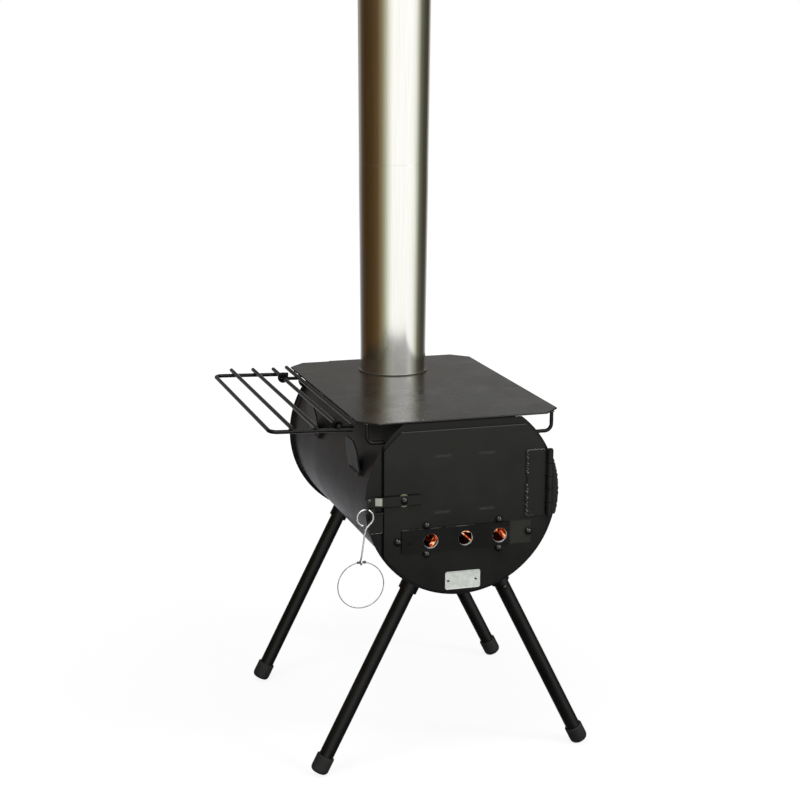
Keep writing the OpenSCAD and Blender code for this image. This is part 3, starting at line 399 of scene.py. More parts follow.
# Six stitches of 9.6 degrees hold each plate, in the corner between it and the barrel
STITCH_RADIUS = BARREL_RADIUS + 0.6
for angle in (-20, 28, 152, 200, 238, 302):
    for end, end_y, toward in (("front", 3.4, 1), ("rear", BODY_LENGTH - 3.4, -1)):
        turns = [math.radians(angle + k * 3.2) for k in range(4)]
        arc = [at(STITCH_RADIUS * math.cos(turn), end_y, STITCH_RADIUS * math.sin(turn)) for turn in turns]
        middle = math.radians(angle + 4.8)
        out = Vector((math.cos(middle), toward, math.sin(middle)))
        weld_bead("plate_stitch_%03d_%s" % (angle % 360, end), arc, out, "firebox",
                  width=5.0, height=1.9, step=2.6)


# ---- Cooktop ----
# A flat plate with four cut corners, laser-cut from 3 mm steel and laid on the barrel's flat.
# Its paint is smoothed by wiping and by heat, so it mirrors the flue softly at a low angle.

cooktop_paint, tree, shader, place = heat_proof_paint("wiped_cooktop_paint", "1a1917", "22201d", 0.28,
                                                      specular=0.45, grain_size=60.0, grit=0.0,
                                                      ripple=0.003, uneven=0.05)
# Heat has browned the paint in a broad ring about the flue
FLUE_Y = BODY_LENGTH - 124
reach = off_axis(tree, place, at(0, FLUE_Y, 0), (1, 1, 0))
browned = add(tree, "MapRange", {"Value": reach, "From Min": 0.22, "From Max": 0.07, "To Max": 0.7},
              interpolation_type="SMOOTHSTEP")
paint_over(tree, shader, browned, "2c241e", 0.3)
softened("cooktop", 0.8, cooktop_paint, "firebox")


# ---- Flue collar and pipes ----
# Thin stainless sheet, rolled, lock-seamed up the back and polished round, in two lengths that nest.
# The lower length stands on a black painted bead; both are sooted inside.

dress("flue_collar", heat_proof_paint("collar_paint", "34312b", "45413a", 0.3, specular=0.8, grit=0.02)[0])

# Rolled stainless: a soft mirror with hair-fine marks along the pipe, drawn 1 mm apart so that they show
stainless, tree, shader, place = new_finish("polished_stainless_sheet")
stretched = add(tree, "Mapping", {"Vector": place, "Scale": (1000, 1000, 5)})
hairs = add(tree, "TexNoise", {"Vector": stretched, "Scale": 1.0, "Detail": 3.0})
smears = add(tree, "TexNoise", {"Vector": place, "Scale": 7.0, "Detail": 4.0})
mixed = add(tree, "Math", {0: hairs, 1: smears}, operation="ADD")
rough = add(tree, "MapRange", {"Value": mixed, "From Min": 0.7, "From Max": 1.3,
                               "To Min": 0.14, "To Max": 0.19})
sheen = add(tree, "ValToRGB", {"Fac": hairs}, stops=[(0.3, "ecebe4"), (0.7, "f6f5f0")])
# Rolling leaves the sheet very slightly faceted, in upright bands of about 6 mm
banded = add(tree, "Mapping", {"Vector": place, "Scale": (160, 160, 0.5)})
bands = add(tree, "TexNoise", {"Vector": banded, "Scale": 1.0, "Detail": 2.0})
facets = add(tree, "Bump", {"Height": bands, "Strength": 0.3, "Distance": 0.0003})
bump = add(tree, "Bump", {"Height": hairs, "Strength": 0.05, "Distance": 0.0001, "Normal": facets})
feed(tree, shader, {"Base Color": sheen, "Roughness": rough, "Metallic": 1.0, "Normal": bump})

# Soot: a dry velvet black with brown tar runs
soot, tree, shader, place = new_finish("soot_on_steel")
runs = add(tree, "Mapping", {"Vector": place, "Scale": (1, 1, 0.25)})
tar = add(tree, "TexNoise", {"Vector": runs, "Scale": 60.0, "Detail": 6.0})
tone = add(tree, "ValToRGB", {"Fac": tar}, stops=[(0.35, "0e0d0c"), (0.6, "1d1916"), (0.75, "3a2c22")])
bump = add(tree, "Bump", {"Height": tar, "Strength": 0.5, "Distance": 0.001})
feed(tree, shader, {"Base Color": tone, "Roughness": 0.92, "Normal": bump})


def spun(profile, centre, axis, across, steps=64):
    """Turns a profile on a lathe: (out, along) pairs in millimetres from a centre, spun about an axis.
    across is the direction that the profile's out values are measured in."""
    points = [centre + across * (out / 1000) + axis * (along / 1000) for out, along in profile]
    bpy.ops.object.select_all(action="DESELECT")
    bpy.ops.mesh.primitive_plane_add(size=0.001, location=points[0])
    turned_piece = bpy.context.object
    bpy.ops.object.transform_apply(location=True, rotation=True, scale=True)
    bpy.ops.object.mode_set(mode="EDIT")
    bpy.ops.mesh.select_mode(type="VERT")
    bpy.ops.mesh.select_all(action="SELECT")
    bpy.ops.mesh.merge(type="CENTER")
    for start, end in zip(points, points[1:]):
        bpy.ops.mesh.extrude_region_move(TRANSFORM_OT_translate={"value": end - start})
    bpy.ops.mesh.select_all(action="SELECT")
    bpy.ops.mesh.spin(steps=steps, angle=2 * math.pi, center=centre, axis=axis)
    bpy.ops.mesh.select_all(action="SELECT")
    bpy.ops.mesh.remove_doubles(threshold=0.000004)
    bpy.ops.mesh.normals_make_consistent(inside=False)
    bpy.ops.object.mode_set(mode="OBJECT")
    return turned_piece


UP = Vector((0, 0, 1))
RIGHT = Vector((1, 0, 0))
BACK = Vector((0, 1, 0))
# Outer radii in millimetres: the lower pipe's foot, the joint, the upper pipe's top and its neck
FOOT_OUT, JOINT_OUT, TOP_OUT, NECK_OUT = 61.25, 64.1, 66.9, 63.0
FLUE_SHEET, LOWER_LENGTH, UPPER_LENGTH, STRAIGHT_FOOT, STRAIGHT_END, NECK_LENGTH = 0.8, 387, 391, 47, 40, 35
pipe_low, pipe_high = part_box("lower_pipe")
pipe_foot = Vector(((pipe_low[0] + pipe_high[0]) / 2, (pipe_low[1] + pipe_high[1]) / 2, pipe_low[2]))
lower_outside = [(FOOT_OUT, 0), (FOOT_OUT, STRAIGHT_FOOT), (JOINT_OUT, LOWER_LENGTH - STRAIGHT_END),
                 (JOINT_OUT, LOWER_LENGTH - 0.4), (JOINT_OUT - 0.2, LOWER_LENGTH)]
lower_inside = [(JOINT_OUT - FLUE_SHEET, LOWER_LENGTH), (JOINT_OUT - FLUE_SHEET, LOWER_LENGTH - STRAIGHT_END),
                (FOOT_OUT - FLUE_SHEET, STRAIGHT_FOOT), (FOOT_OUT - FLUE_SHEET, 0)]
upper_outside = [(NECK_OUT - FLUE_SHEET, -NECK_LENGTH), (NECK_OUT, -NECK_LENGTH), (NECK_OUT, 0),
                 (JOINT_OUT - 0.2, 0), (JOINT_OUT, 0.4), (TOP_OUT, UPPER_LENGTH - STRAIGHT_END),
                 (TOP_OUT, UPPER_LENGTH - 1.4), (TOP_OUT - 0.2, UPPER_LENGTH - 0.2),
                 (TOP_OUT - 0.6, UPPER_LENGTH)]
upper_inside = [(TOP_OUT - FLUE_SHEET, UPPER_LENGTH), (TOP_OUT - FLUE_SHEET, UPPER_LENGTH - STRAIGHT_END),
                (JOINT_OUT - FLUE_SHEET, FLUE_SHEET), (NECK_OUT - FLUE_SHEET, FLUE_SHEET)]
for name, outside, inner_wall, lift, taper in (
        ("lower_pipe", lower_outside, lower_inside, 0, 1),
        ("upper_pipe", upper_outside, upper_inside, LOWER_LENGTH, 4)):
    foot = pipe_foot + UP * (lift / 1000)
    pipe = spun(outside + inner_wall + [outside[0]], foot, UP, BACK, steps=144)
    finish_piece(pipe, name + "_rolled", None, name, replaced=(name,), angle=28, flat=True)
    pipe.data.materials.append(stainless)
    pipe.data.materials.append(soot)
    for face in pipe.data.polygons:
        spoke = Vector((face.center.x - pipe_foot.x, face.center.y - pipe_foot.y, 0))
        face.material_index = 1 if spoke.dot(face.normal) < -0.5 * spoke.length else 0
    # The lock seam: the sheet's two edges, folded together and pressed flat, up the pipe's taper
    (low_out, low_up), (high_out, high_up) = outside[taper:taper + 2]
    bpy.ops.object.select_all(action="DESELECT")
    bpy.ops.mesh.primitive_cube_add(size=1, location=(0, 0, 0))
    seam = bpy.context.object
    seam.dimensions = (0.007, 0.0006, (high_up - low_up - 2) / 1000)
    seam.rotation_euler = (-math.atan((high_out - low_out) / (high_up - low_up)), 0, 0)
    seam.location = foot + UP * ((high_up + low_up) / 2000) + BACK * ((high_out + low_out) / 2000 + 0.0001)
    bpy.ops.object.transform_apply(location=True, rotation=True, scale=True)
    shape_with(seam, "BEVEL", width=0.00025, segments=3)
    finish_piece(seam, name + "_lock_seam", stainless, name)


# ---- Legs ----
# Steel tubes of 26 mm that plug up into welded stubs of wider tube, as far as a domed stop screw.
# Painted black; each stands in a push-on rubber cap that has worn flat on the ground.

leg_paint = heat_proof_paint("leg_paint", "080808", "111110", 0.33, specular=0.28, grain_size=0.8,
                             ripple=0.05)[0]
screw_paint = heat_proof_paint("painted_domed_heads", "090909", "131312", 0.2, specular=0.5, grit=0.02,
                               ripple=0.0)[0]


def clouded_finish(name, scale, detail, stops, inputs):
    """A finish that clouds from dark to light; scale is clouds to the metre, inputs the shader's values.
    Returns what new_finish returns, and the cloud."""
    made, tree, shader, place = new_finish(name)
    cloud = add(tree, "TexNoise", {"Vector": place, "Scale": scale, "Detail": detail})
    tone = add(tree, "ValToRGB", {"Fac": cloud}, stops=stops)
    feed(tree, shader, {"Base Color": tone, **inputs})
    return made, tree, shader, place, cloud


# Moulded rubber: matt, with a faint bloom of dust and a fine pebble of 0.6 mm
rubber, tree, shader, place = clouded_finish(
    "moulded_rubber", 45.0, 5.0, [(0.35, "161816"), (0.7, "222523")],
    {"Roughness": 0.68, "Specular IOR Level": 0.35})[:4]
pebble = add(tree, "TexNoise", {"Vector": place, "Scale": 1600.0, "Detail": 1.0})
bump = add(tree, "Bump", {"Height": pebble, "Strength": 0.25, "Distance": 0.0003})
feed(tree, shader, {"Normal": bump})

LEG_ANGLE = math.radians(26.8)
LEG_RADIUS, LEG_FRONT_Y, LEG_REAR_Y = 13, 38, BODY_LENGTH - 37
CAP_WALL, CAP_ROUND, CAP_BASE, FOOT_FLAT = 3, 2.5, 5, 1.5
CAP_END = (BARREL_AXIS.z * 1000 + FOOT_FLAT - CAP_ROUND
           - (LEG_RADIUS + CAP_WALL - CAP_ROUND) * math.sin(LEG_ANGLE)) / math.cos(LEG_ANGLE) + CAP_ROUND
# The cap's base inside, then its outside from the open rim down to the rounded end
cap_profile = [(0, -CAP_BASE), (LEG_RADIUS, -CAP_BASE), (13.2, -32), (14.9, -32), (15.5, -31.7),
               (15.9, -31.1), (16, -30.3), (16, -8), (15.75, -6.1), (15.1, -4.1), (14.0, -2.3),
               (12.4, -1.0), (10.4, -0.25), (8, 0), (0, 0)]
leg_way = Vector((-math.sin(LEG_ANGLE), 0, -math.cos(LEG_ANGLE)))
leg_side = Vector((-math.cos(LEG_ANGLE), 0, math.sin(LEG_ANGLE)))
first_cap = spun(cap_profile, at(0, LEG_FRONT_Y, 0) + leg_way * (CAP_END / 1000), leg_way, leg_side)
bpy.ops.object.mode_set(mode="EDIT")
bpy.ops.mesh.select_all(action="SELECT")
bpy.ops.mesh.bisect(plane_co=(0, 0, 0.00002), plane_no=UP, use_fill=True, clear_inner=True)
bpy.ops.object.mode_set(mode="OBJECT")
for corner, side, row in (("fl", 1, 0), ("fr", -1, 0), ("rl", 1, 1), ("rr", -1, 1)):
    cap = copied(first_cap)
    mirror = (Matrix.Translation(BARREL_AXIS) @ Matrix.Diagonal((side, 1, 1, 1))
              @ Matrix.Translation(-BARREL_AXIS))
    cap.data.transform(Matrix.Translation(BACK * (row * (LEG_REAR_Y - LEG_FRONT_Y) / 1000)) @ mirror)
    if side < 0:
        cap.data.flip_normals()
    finish_piece(cap, "foot_cap_%s_moulded" % corner, rubber, "leg_" + corner,
                 replaced=("foot_cap_" + corner,))
    dress("leg_tube_" + corner, leg_paint)
    dress("leg_stub_" + corner, leg_paint)
    dress("leg_screw_" + corner, screw_paint)
bpy.data.objects.remove(first_cap)


# ---- Cooktop stays ----
# Four lengths of 6.5 mm rod, bent square, welded up to the cooktop and in to the barrel.
# The round rod takes a bright line of light along its bend.

rod_paint = heat_proof_paint("painted_round_rod", "0b0a09", "151412", 0.25, specular=0.24, grit=0.05,
                             ripple=0.05)[0]
STAY_X, STAY_Z, STAY_FRONT_Y, STAY_REAR_Y = 165, 103, 15, BODY_LENGTH - 60
eighths = [k * math.pi / 4 for k in range(9)]
for corner, side, y in (("fl", -1, STAY_FRONT_Y), ("fr", 1, STAY_FRONT_Y),
                        ("rl", -1, STAY_REAR_Y), ("rr", 1, STAY_REAR_Y)):
    dress("cooktop_stay_" + corner, rod_paint)
    ring = [at(side * STAY_X + 3.4 * math.cos(a), y + 3.4 * math.sin(a), FLAT_HEIGHT - 0.6) for a in eighths]
    weld_bead("stay_top_weld_" + corner, ring, -UP, "firebox", width=2.6, height=1.4, step=1.6)
    foot_x = side * math.sqrt(BARREL_RADIUS ** 2 - STAY_Z ** 2)
    ring = [at(foot_x + side * (1.2 + 2.0 * math.sin(a)), y + 3.5 * math.cos(a), STAY_Z + 3.3 * math.sin(a))
            for a in eighths]
    weld_bead("stay_foot_weld_" + corner, ring, Vector((side, 0, 0.6)), "firebox",
              width=2.6, height=1.4, step=1.6)


# ---- Hanger tabs ----
# Two plates on the left side, cut with dropped corners, bent out at the top and welded along the foot.
# Sprayed with the barrel, and rubbed a little duller by what has hung on them.

tab_paint = heat_proof_paint("rubbed_tab_paint", "141313", "232222", 0.38, specular=0.22, grain_size=1.2)[0]
softened("hanger_tab_front", 0.4, tab_paint, "firebox")
softened("hanger_tab_rear", 0.4, tab_paint, "firebox")
for name, y in (("front", 95), ("rear", BODY_LENGTH - 165)):
    weld_bead("hanger_weld_" + name, [at(-164.6, y - 31, 35.2), at(-164.6, y + 31, 35.2)],
              Vector((-1, 0, -0.6)), "firebox", width=5, height=2.0)


# ---- Side rack ----
# Round 7 mm rods: a bent frame with two cross rods and a hinge rod laid on its arms and tacked.
# Two more rods curl round the hinge rod and are welded to the rod along the cooktop's edge.

for name in ("rack_edge_rod", "rack_frame", "rack_rod_outer", "rack_rod_inner", "rack_hinge_rod"):
    body = "firebox" if name == "rack_edge_rod" else "rack"
    softened(name, 0.7, rod_paint, body, angle=50)
# The links' curls are painted darker and duller than the rods
link_paint = heat_proof_paint("dull_link_paint", "080807", "0f0f0e", 0.5, specular=0.1, grit=0.05,
                              ripple=0.05)[0]
dress("rack_links", link_paint)
RACK_TILT = math.radians(2)
hinge_rod = Vector((-209.9, 0, 133.0))
for index, reach_out in enumerate((81.2, 39.4, 0.0)):
    for arm, arm_y, inward in (("front", 28, 1), ("rear", BODY_LENGTH - 48, -1)):
        spot = Vector((hinge_rod.x - reach_out * math.cos(RACK_TILT), arm_y,
                       hinge_rod.z + reach_out * math.sin(RACK_TILT) - 3.6))
        tack = [at(*(spot + Vector((dx, inward * dy, 0)))) for dx, dy in ((-3.2, 2.4), (0, 3.4), (3.2, 2.4))]
        weld_bead("rack_tack_%d_%s" % (index, arm), tack, UP, "rack",
                  width=2.6, height=1.3, step=1.7)
for name, y in (("front", 31.5), ("rear", 416.3)):
    over = [at(-186.8, y - 3.4, 131.2), at(-186.2, y, 135.0), at(-186.8, y + 3.4, 131.2)]
    weld_bead("link_weld_" + name, over, Vector((-1, 0, 0.4)), "firebox",
              width=2.8, height=1.4, step=1.7)
for y in (60, 250, 440):
    weld_bead("edge_rod_weld_%03d" % y, [at(-180.4, y - 9, 138.2), at(-180.4, y + 9, 138.2)],
              Vector((-0.4, 0, 1)), "firebox", width=3.0, height=1.0, step=2.4)


# ---- Door ----
# A 3 mm disc with a straight top, left side and hinge edge, hung in front of the firebox opening.
# Painted paler towards the top and darker towards the bottom as painted shade, with a rubbed patch where the
# draught slider parks.

DOOR_TOP, LATCH_Z, SLIDER_Z = 122, 4.6, -68
HOLE_X, HOLE_Z, HOLE_PITCH = 4.3, SLIDER_Z - 2, 62


def box_mask(tree, place, centre, half, soft):
    """White inside a rectangle on the front, fading over a soft edge.
    centre and half are its middle and its half width and height, level and upright, in millimetres."""
    middle = at(centre[0], 0, centre[1])
    moved = add(tree, "VectorMath", {0: place, 1: tuple(-middle)}, operation="ADD")
    folded = add(tree, "VectorMath", {0: moved}, operation="ABSOLUTE")
    split = add(tree, "SeparateXYZ", {"Vector": folded}).outputs
    sides = [add(tree, "MapRange", {"Value": split[letter], "From Min": (reach + soft) / 1000,
                                    "From Max": (reach - soft) / 1000}, interpolation_type="SMOOTHSTEP")
             for letter, reach in zip("XZ", half)]
    return add(tree, "Math", {0: sides[0], 1: sides[1]}, operation="MULTIPLY")


def hole_mask(tree, place):
    """White on the bare cut walls of the three draught holes, which are 12.7 mm from their axes."""
    middle = at(HOLE_X, 0, HOLE_Z)
    moved = add(tree, "VectorMath", {0: place, 1: (-middle.x, 0, -middle.z)}, operation="ADD")
    split = add(tree, "SeparateXYZ", {"Vector": moved}).outputs
    nearest = add(tree, "Math", {0: split["X"], 1: HOLE_PITCH / 2000, 2: -HOLE_PITCH / 2000},
                  operation="WRAP")
    flat = add(tree, "CombineXYZ", {"X": nearest, "Z": split["Z"]})
    reach = add(tree, "VectorMath", {0: flat}, operation="LENGTH")
    wall = add(tree, "MapRange", {"Value": reach.outputs["Value"], "From Min": 0.0129, "From Max": 0.0128})
    # Wrapping repeats the holes for ever, and the outer two end less than 90 mm from the middle
    off = add(tree, "Math", {0: split["X"]}, operation="ABSOLUTE")
    near = add(tree, "Math", {0: off, 1: 0.09}, operation="LESS_THAN")
    return add(tree, "Math", {0: wall, 1: near}, operation="MULTIPLY")


door_paint, tree, shader, place = heat_proof_paint("door_paint", "0b0b0a", "22231f", 0.4, specular=0.18,
                                                   ripple=0.6, painted_top_shading=1.0)
# Light level marks, 28 by 4 mm, over the four pairs of spot welds: a painted highlight on their dents
WELD_X, WELD_Z, WELD_HALF_X, WELD_HALF_Z = 2.5, 28, 39.5, 49
moved = add(tree, "VectorMath", {0: place, 1: tuple(-at(WELD_X, 0, WELD_Z))}, operation="ADD")
folded = add(tree, "VectorMath", {0: moved}, operation="ABSOLUTE")
to_pair = (-WELD_HALF_X / 1000, 0, -WELD_HALF_Z / 1000)
paired = add(tree, "VectorMath", {0: folded, 1: to_pair}, operation="ADD")
again = add(tree, "VectorMath", {0: paired}, operation="ABSOLUTE")
split = add(tree, "SeparateXYZ", {"Vector": again}).outputs
wide = add(tree, "MapRange", {"Value": split["X"], "From Min": 0.017, "From Max": 0.011})
tall = add(tree, "MapRange", {"Value": split["Z"], "From Min": 0.0034, "From Max": 0.0004})
patchy = add(tree, "TexNoise", {"Vector": place, "Scale": 130.0, "Detail": 2.0})
weld_mark_box = add(tree, "Math", {0: wide, 1: tall}, operation="MULTIPLY")
weld_highlight = add(tree, "Math", {0: weld_mark_box, 1: patchy}, operation="MULTIPLY")
paint_over(tree, shader, weld_highlight, "3e3e3a", 0.34)
# A painted shadow line on the door round the latch bar at rest, from its washer out to the bar's outline
bar_shadow_outer = box_mask(tree, place, (-114, LATCH_Z), (38, 10.3), 0.5)
bar_shadow_inner = box_mask(tree, place, (-114, LATCH_Z), (36.6, 8.6), 0.3)
bar_shadow_line = add(tree, "Math", {0: bar_shadow_outer, 1: bar_shadow_inner}, operation="SUBTRACT")
paint_over(tree, shader, bar_shadow_line, "070707", 0.9)
# A painted highlight in grey along the top edge, and the holes' bare walls painted pale as a highlight
paint_over(tree, shader, box_mask(tree, place, (0, DOOR_TOP - 0.3), (112, 0.5), 0.25), "484844", 0.34)
paint_over(tree, shader, hole_mask(tree, place), "a8a8a4", 0.34)
# The patch right of the slider: 40 by 40 mm, dulled by the slider's back
patch = box_mask(tree, place, (104, SLIDER_Z), (20, 20), 1.0)
streaks = add(tree, "Mapping", {"Vector": place, "Scale": (20, 1, 900)})
scuffs = add(tree, "TexNoise", {"Vector": streaks, "Scale": 1.0, "Detail": 3.0})
scuffed = add(tree, "Math", {0: patch, 1: scuffs}, operation="MULTIPLY")
paint_over(tree, shader, scuffed, "34332f", 0.55)
softened("door_plate", 0.5, door_paint, "door")

# The shield's bare steel: fogged with soot, brown where the fire has scaled it
shield_steel, tree, shader, place, fog = clouded_finish(
    "sooted_shield_steel", 22.0, 7.0, [(0.3, "15120f"), (0.55, "3a322b"), (0.8, "6e6256")], {"Metallic": 0.6})
rough = add(tree, "MapRange", {"Value": fog, "To Min": 0.85, "To Max": 0.5})
feed(tree, shader, {"Roughness": rough})
softened("heat_shield", 0.3, shield_steel, "door")
dress("shield_brackets", shield_steel)

# Spot welds hold the shield's brackets: each leaves a shallow oval dent with a raised lip in the door
dent_profile = [(0, 0.35), (2.2, 0.3), (3.4, -0.12), (4.2, -0.16), (5.0, 0.25)]
for index, (x, z) in enumerate(((-37, -21), (42, -21), (-37, 77), (42, 77))):
    for half, step_x in (("left", -7.4), ("right", 7.4)):
        mark = spun(dent_profile, at(x + step_x, -3.4, z), BACK, RIGHT, steps=32)
        spot = at(x + step_x, 0, z)
        mark.data.transform(Matrix.Translation(spot) @ Matrix.Diagonal((1.5, 1, 0.62, 1))
                            @ Matrix.Translation(-spot))
        finish_piece(mark, "spot_weld_%d_%s" % (index, half), door_paint, "door")


# ---- Hinge ----
# A weld-on hinge of two leaves and five knuckles on one pin, buried in paint.
# Heavy beads run down the door leaf's edge, along its top and foot, and down the frame leaf's outer edge.

hinge_paint, tree, shader, place = heat_proof_paint("hinge_paint", "0f0f0e", "1b1b19", 0.31, specular=0.24,
                                                    grit=0.08)
# Rust and grime in the four joints between the knuckles, on the pin's line
PIN_X = 154.6
for joint_z in (-17.3, 5.9, 29.1, 52.3):
    paint_over(tree, shader, box_mask(tree, place, (PIN_X, joint_z), (9, 0.7), 0.35), "040303", 0.9)
softened("hinge_door_leaf", 0.35, hinge_paint, "door")
softened("hinge_frame_leaf", 0.35, hinge_paint, "firebox")
softened("hinge_pin", 0.6, hinge_paint, "firebox")
dress("hinge_pad", satin_paint)
OUT = Vector((0, -1, 0))
LEFT = Vector((-1, 0, 0))
LEAF_EDGE_X, LEAF_LOW, LEAF_HIGH, LEAF_Y = 115.1, -40.5, 75.5, -4.2
for name, heights, width, height, step in (("upper", (76, 60, 44, 31), 6.5, 2.3, 3.0),
                                           ("lower", (16, 0, -16, -31, -41), 7.0, 2.5, 3.1)):
    weld_bead("hinge_weld_" + name, [at(LEAF_EDGE_X - 0.4, LEAF_Y, z) for z in heights], OUT + LEFT * 0.5,
              "door", width=width, height=height, step=step)
for name, z, reaches, out in (("top", LEAF_HIGH + 0.4, (116, 126, 138, 146), OUT + UP),
                              ("foot", LEAF_LOW - 0.4, (116, 128), OUT - UP)):
    weld_bead("hinge_weld_" + name, [at(x, LEAF_Y, z) for x in reaches], out, "door",
              width=4.5, height=1.8, step=2.6)
PLATE_EDGE = END_PLATE_RADIUS * 1000 - 0.3
frame_edge = [at(math.sqrt(PLATE_EDGE ** 2 - z * z), -3.6, z) for z in (*range(66, -31, -12), -38)]
weld_bead("frame_leaf_weld", frame_edge, OUT + RIGHT * 0.8, "firebox",
          width=5.0, height=2.2, step=2.7)


# ---- Draught slider and its rivets ----
# A painted strip with three air holes and a poke hole, which slides under domed rivet heads.
# Its face carries fine level scratches from the poker and from the heads.

slider_paint, tree, shader, place = heat_proof_paint("slider_paint", "0b0b0a", "141413", 0.38, specular=0.13,
                                                     ripple=0.08)
streaks = add(tree, "Mapping", {"Vector": place, "Scale": (14, 1, 1100)})
lines = add(tree, "TexNoise", {"Vector": streaks, "Scale": 1.0, "Detail": 2.0})
bright = add(tree, "MapRange", {"Value": lines, "From Min": 0.62, "From Max": 0.72, "To Max": 0.6})
paint_over(tree, shader, bright, "2a2a27", 0.3)
# A painted highlight in grey on its top edge in places, and its holes' bare walls painted pale as a highlight
highlight_band = box_mask(tree, place, (-45, SLIDER_Z + 20.4), (66, 0.5), 0.25)
highlight_noise = add(tree, "TexNoise", {"Vector": place, "Scale": 45.0, "Detail": 3.0})
highlight_breaks = add(tree, "MapRange", {"Value": highlight_noise, "From Min": 0.38, "From Max": 0.6})
top_edge_highlight = add(tree, "Math", {0: highlight_band, 1: highlight_breaks}, operation="MULTIPLY")
paint_over(tree, shader, top_edge_highlight, "5c5c56", 0.3)
paint_over(tree, shader, hole_mask(tree, place), "c4c4c0", 0.3)
softened("draught_slider", 0.35, slider_paint, "slider")
for name in ("draught_rivets", "stop_bolts", "latch_bolt"):
    dress(name, screw_paint)


# ---- Name plate ----
# A bare silver plate of thin aluminium with a pressed border, held by two small rivets.
# Nothing is printed or stamped on it.

aluminium, tree, shader, place, handling = clouded_finish(
    "satin_aluminium", 120.0, 4.0, [(0.3, "d2d6d0"), (0.7, "e8ece6")], {"Metallic": 0.7})
rolled = add(tree, "Mapping", {"Vector": place, "Scale": (60, 1, 1400)})
lines = add(tree, "TexNoise", {"Vector": rolled, "Scale": 1.0, "Detail": 3.0})
rough = add(tree, "MapRange", {"Value": lines, "To Min": 0.4, "To Max": 0.54})
bump = add(tree, "Bump", {"Height": handling, "Strength": 0.2, "Distance": 0.0005})
feed(tree, shader, {"Roughness": rough, "Normal": bump})
NAME_WIDTH, NAME_HEIGHT, NAME_CORNER, NAME_SHEET = 0.0632, 0.032, 0.004, 0.00078
bpy.ops.object.select_all(action="DESELECT")
bpy.ops.mesh.primitive_plane_add(size=1, location=at(0.9, -3.42, -144.5), rotation=(math.pi / 2, 0, 0))
plate = bpy.context.object
plate.scale = (NAME_WIDTH, NAME_HEIGHT, 1)
bpy.ops.object.transform_apply(location=True, rotation=True, scale=True)
bpy.ops.object.mode_set(mode="EDIT")
bpy.ops.mesh.select_mode(type="VERT")
bpy.ops.mesh.select_all(action="SELECT")
bpy.ops.mesh.bevel(offset=NAME_CORNER, segments=6, affect="VERTICES")
bpy.ops.mesh.select_mode(type="FACE")
bpy.ops.mesh.select_all(action="SELECT")
bpy.ops.mesh.extrude_region_move(TRANSFORM_OT_translate={"value": (0, -NAME_SHEET, 0)})
# A rounded edge, a flat border and a pressed line inside it
for inward, rise in ((0.0004, 0), (0.0014, 0), (0.0005, -0.0003)):
    bpy.ops.mesh.inset(thickness=inward, depth=rise)
bpy.ops.mesh.select_all(action="SELECT")
bpy.ops.mesh.normals_make_consistent(inside=False)
bpy.ops.object.mode_set(mode="OBJECT")
finish_piece(plate, "name_plate_pressed", aluminium, "door", replaced=("name_plate",),
             flat=True)

# Rolled heads of small steel rivets: bright, clouded at random with dark
rivet_steel = clouded_finish("rolled_rivet_steel", 330.0, 2.0, [(0.42, "2a2a28"), (0.56, "a4a6a0")],
                             {"Metallic": 1.0, "Roughness": 0.3})[0]
dress("name_plate_rivets", rivet_steel)


# ---- Latch ----
# A cut steel bar on a shouldered bolt with a brass spring washer behind, stepped back past the door.
# Its tail drops into a hook plate that is welded to the front plate.

latch_coat = dict(dark="0f0f0e", light="1b1b19", gloss=0.32, specular=0.24, grit=0.08, ripple=0.1)
latch_paint = heat_proof_paint("latch_paint", **latch_coat)[0]
# The bar alone has painted highlights in pale grey on its step and at its tail's upper corner
highlighted_bar, tree, shader, place = heat_proof_paint("latch_bar_paint_painted_highlights", **latch_coat)
paint_over(tree, shader, box_mask(tree, place, (-149.9, LATCH_Z + 1), (5.5, 6.6), 0.5), "a2a298", 0.36)
paint_over(tree, shader, box_mask(tree, place, (-166.8, LATCH_Z + 4.8), (3.6, 1.5), 0.8), "6e6e68", 0.36)
softened("latch_bar", 0.4, highlighted_bar, "latch")
softened("latch_keeper", 0.4, latch_paint, "firebox")
weld_bead("keeper_weld_side", [at(-166.4, -0.8, z) for z in (-28, -37, -46)], OUT + LEFT, "firebox",
          width=4.5, height=1.9, step=2.5)
# The keeper's foot weld wears the pale grey painted highlight
weld_bead("keeper_weld_foot", [at(x, -0.8, -49.2) for x in (-162, -143)], OUT - UP, "firebox",
          width=3.4, height=1.5, step=2.4, material=highlight_weld)
# Dull brass: warm and pale, clouded by tarnish
brass = clouded_finish("dull_brass", 300.0, 4.0, [(0.35, "6a6650"), (0.65, "a8a488")],
                       {"Metallic": 1.0, "Roughness": 0.38})[0]
dress("latch_washer", brass)


# ---- Wire pull and ring ----
# One length of bright steel wire, curled to an open eye through the latch's tab and a small eye below.
# A ring of twisted steel cord hangs in the small eye, closed by a dark crimped sleeve with a ball end.

# Drawn wire: bright, with marks of the die along it
bright_wire, tree, shader, place, marks = clouded_finish(
    "drawn_steel_wire", 500.0, 3.0, [(0.35, "d0d0d0"), (0.65, "fafafa")], {"Metallic": 0.85})
rough = add(tree, "MapRange", {"Value": marks, "To Min": 0.3, "To Max": 0.5})
feed(tree, shader, {"Roughness": rough})

# The real wire is 2.4 mm thick; 2.9 mm lets its light show
WIRE_RADIUS = 0.00145
EYE_RADIUS, TURN_RADIUS, NECK, SHANK, SMALL_EYE, SHANK_LEAN = 14.0, 16.0, 8.0, 49.0, 3.7, math.radians(8)
eye_centre = Vector((-174.6, -9.5, -18.5))


def on_arc(centre, radius, degrees):
    """A point on an arc in the latch tab's upright plane."""
    return centre + Vector((math.cos(math.radians(degrees)), 0, math.sin(math.radians(degrees)))) * radius


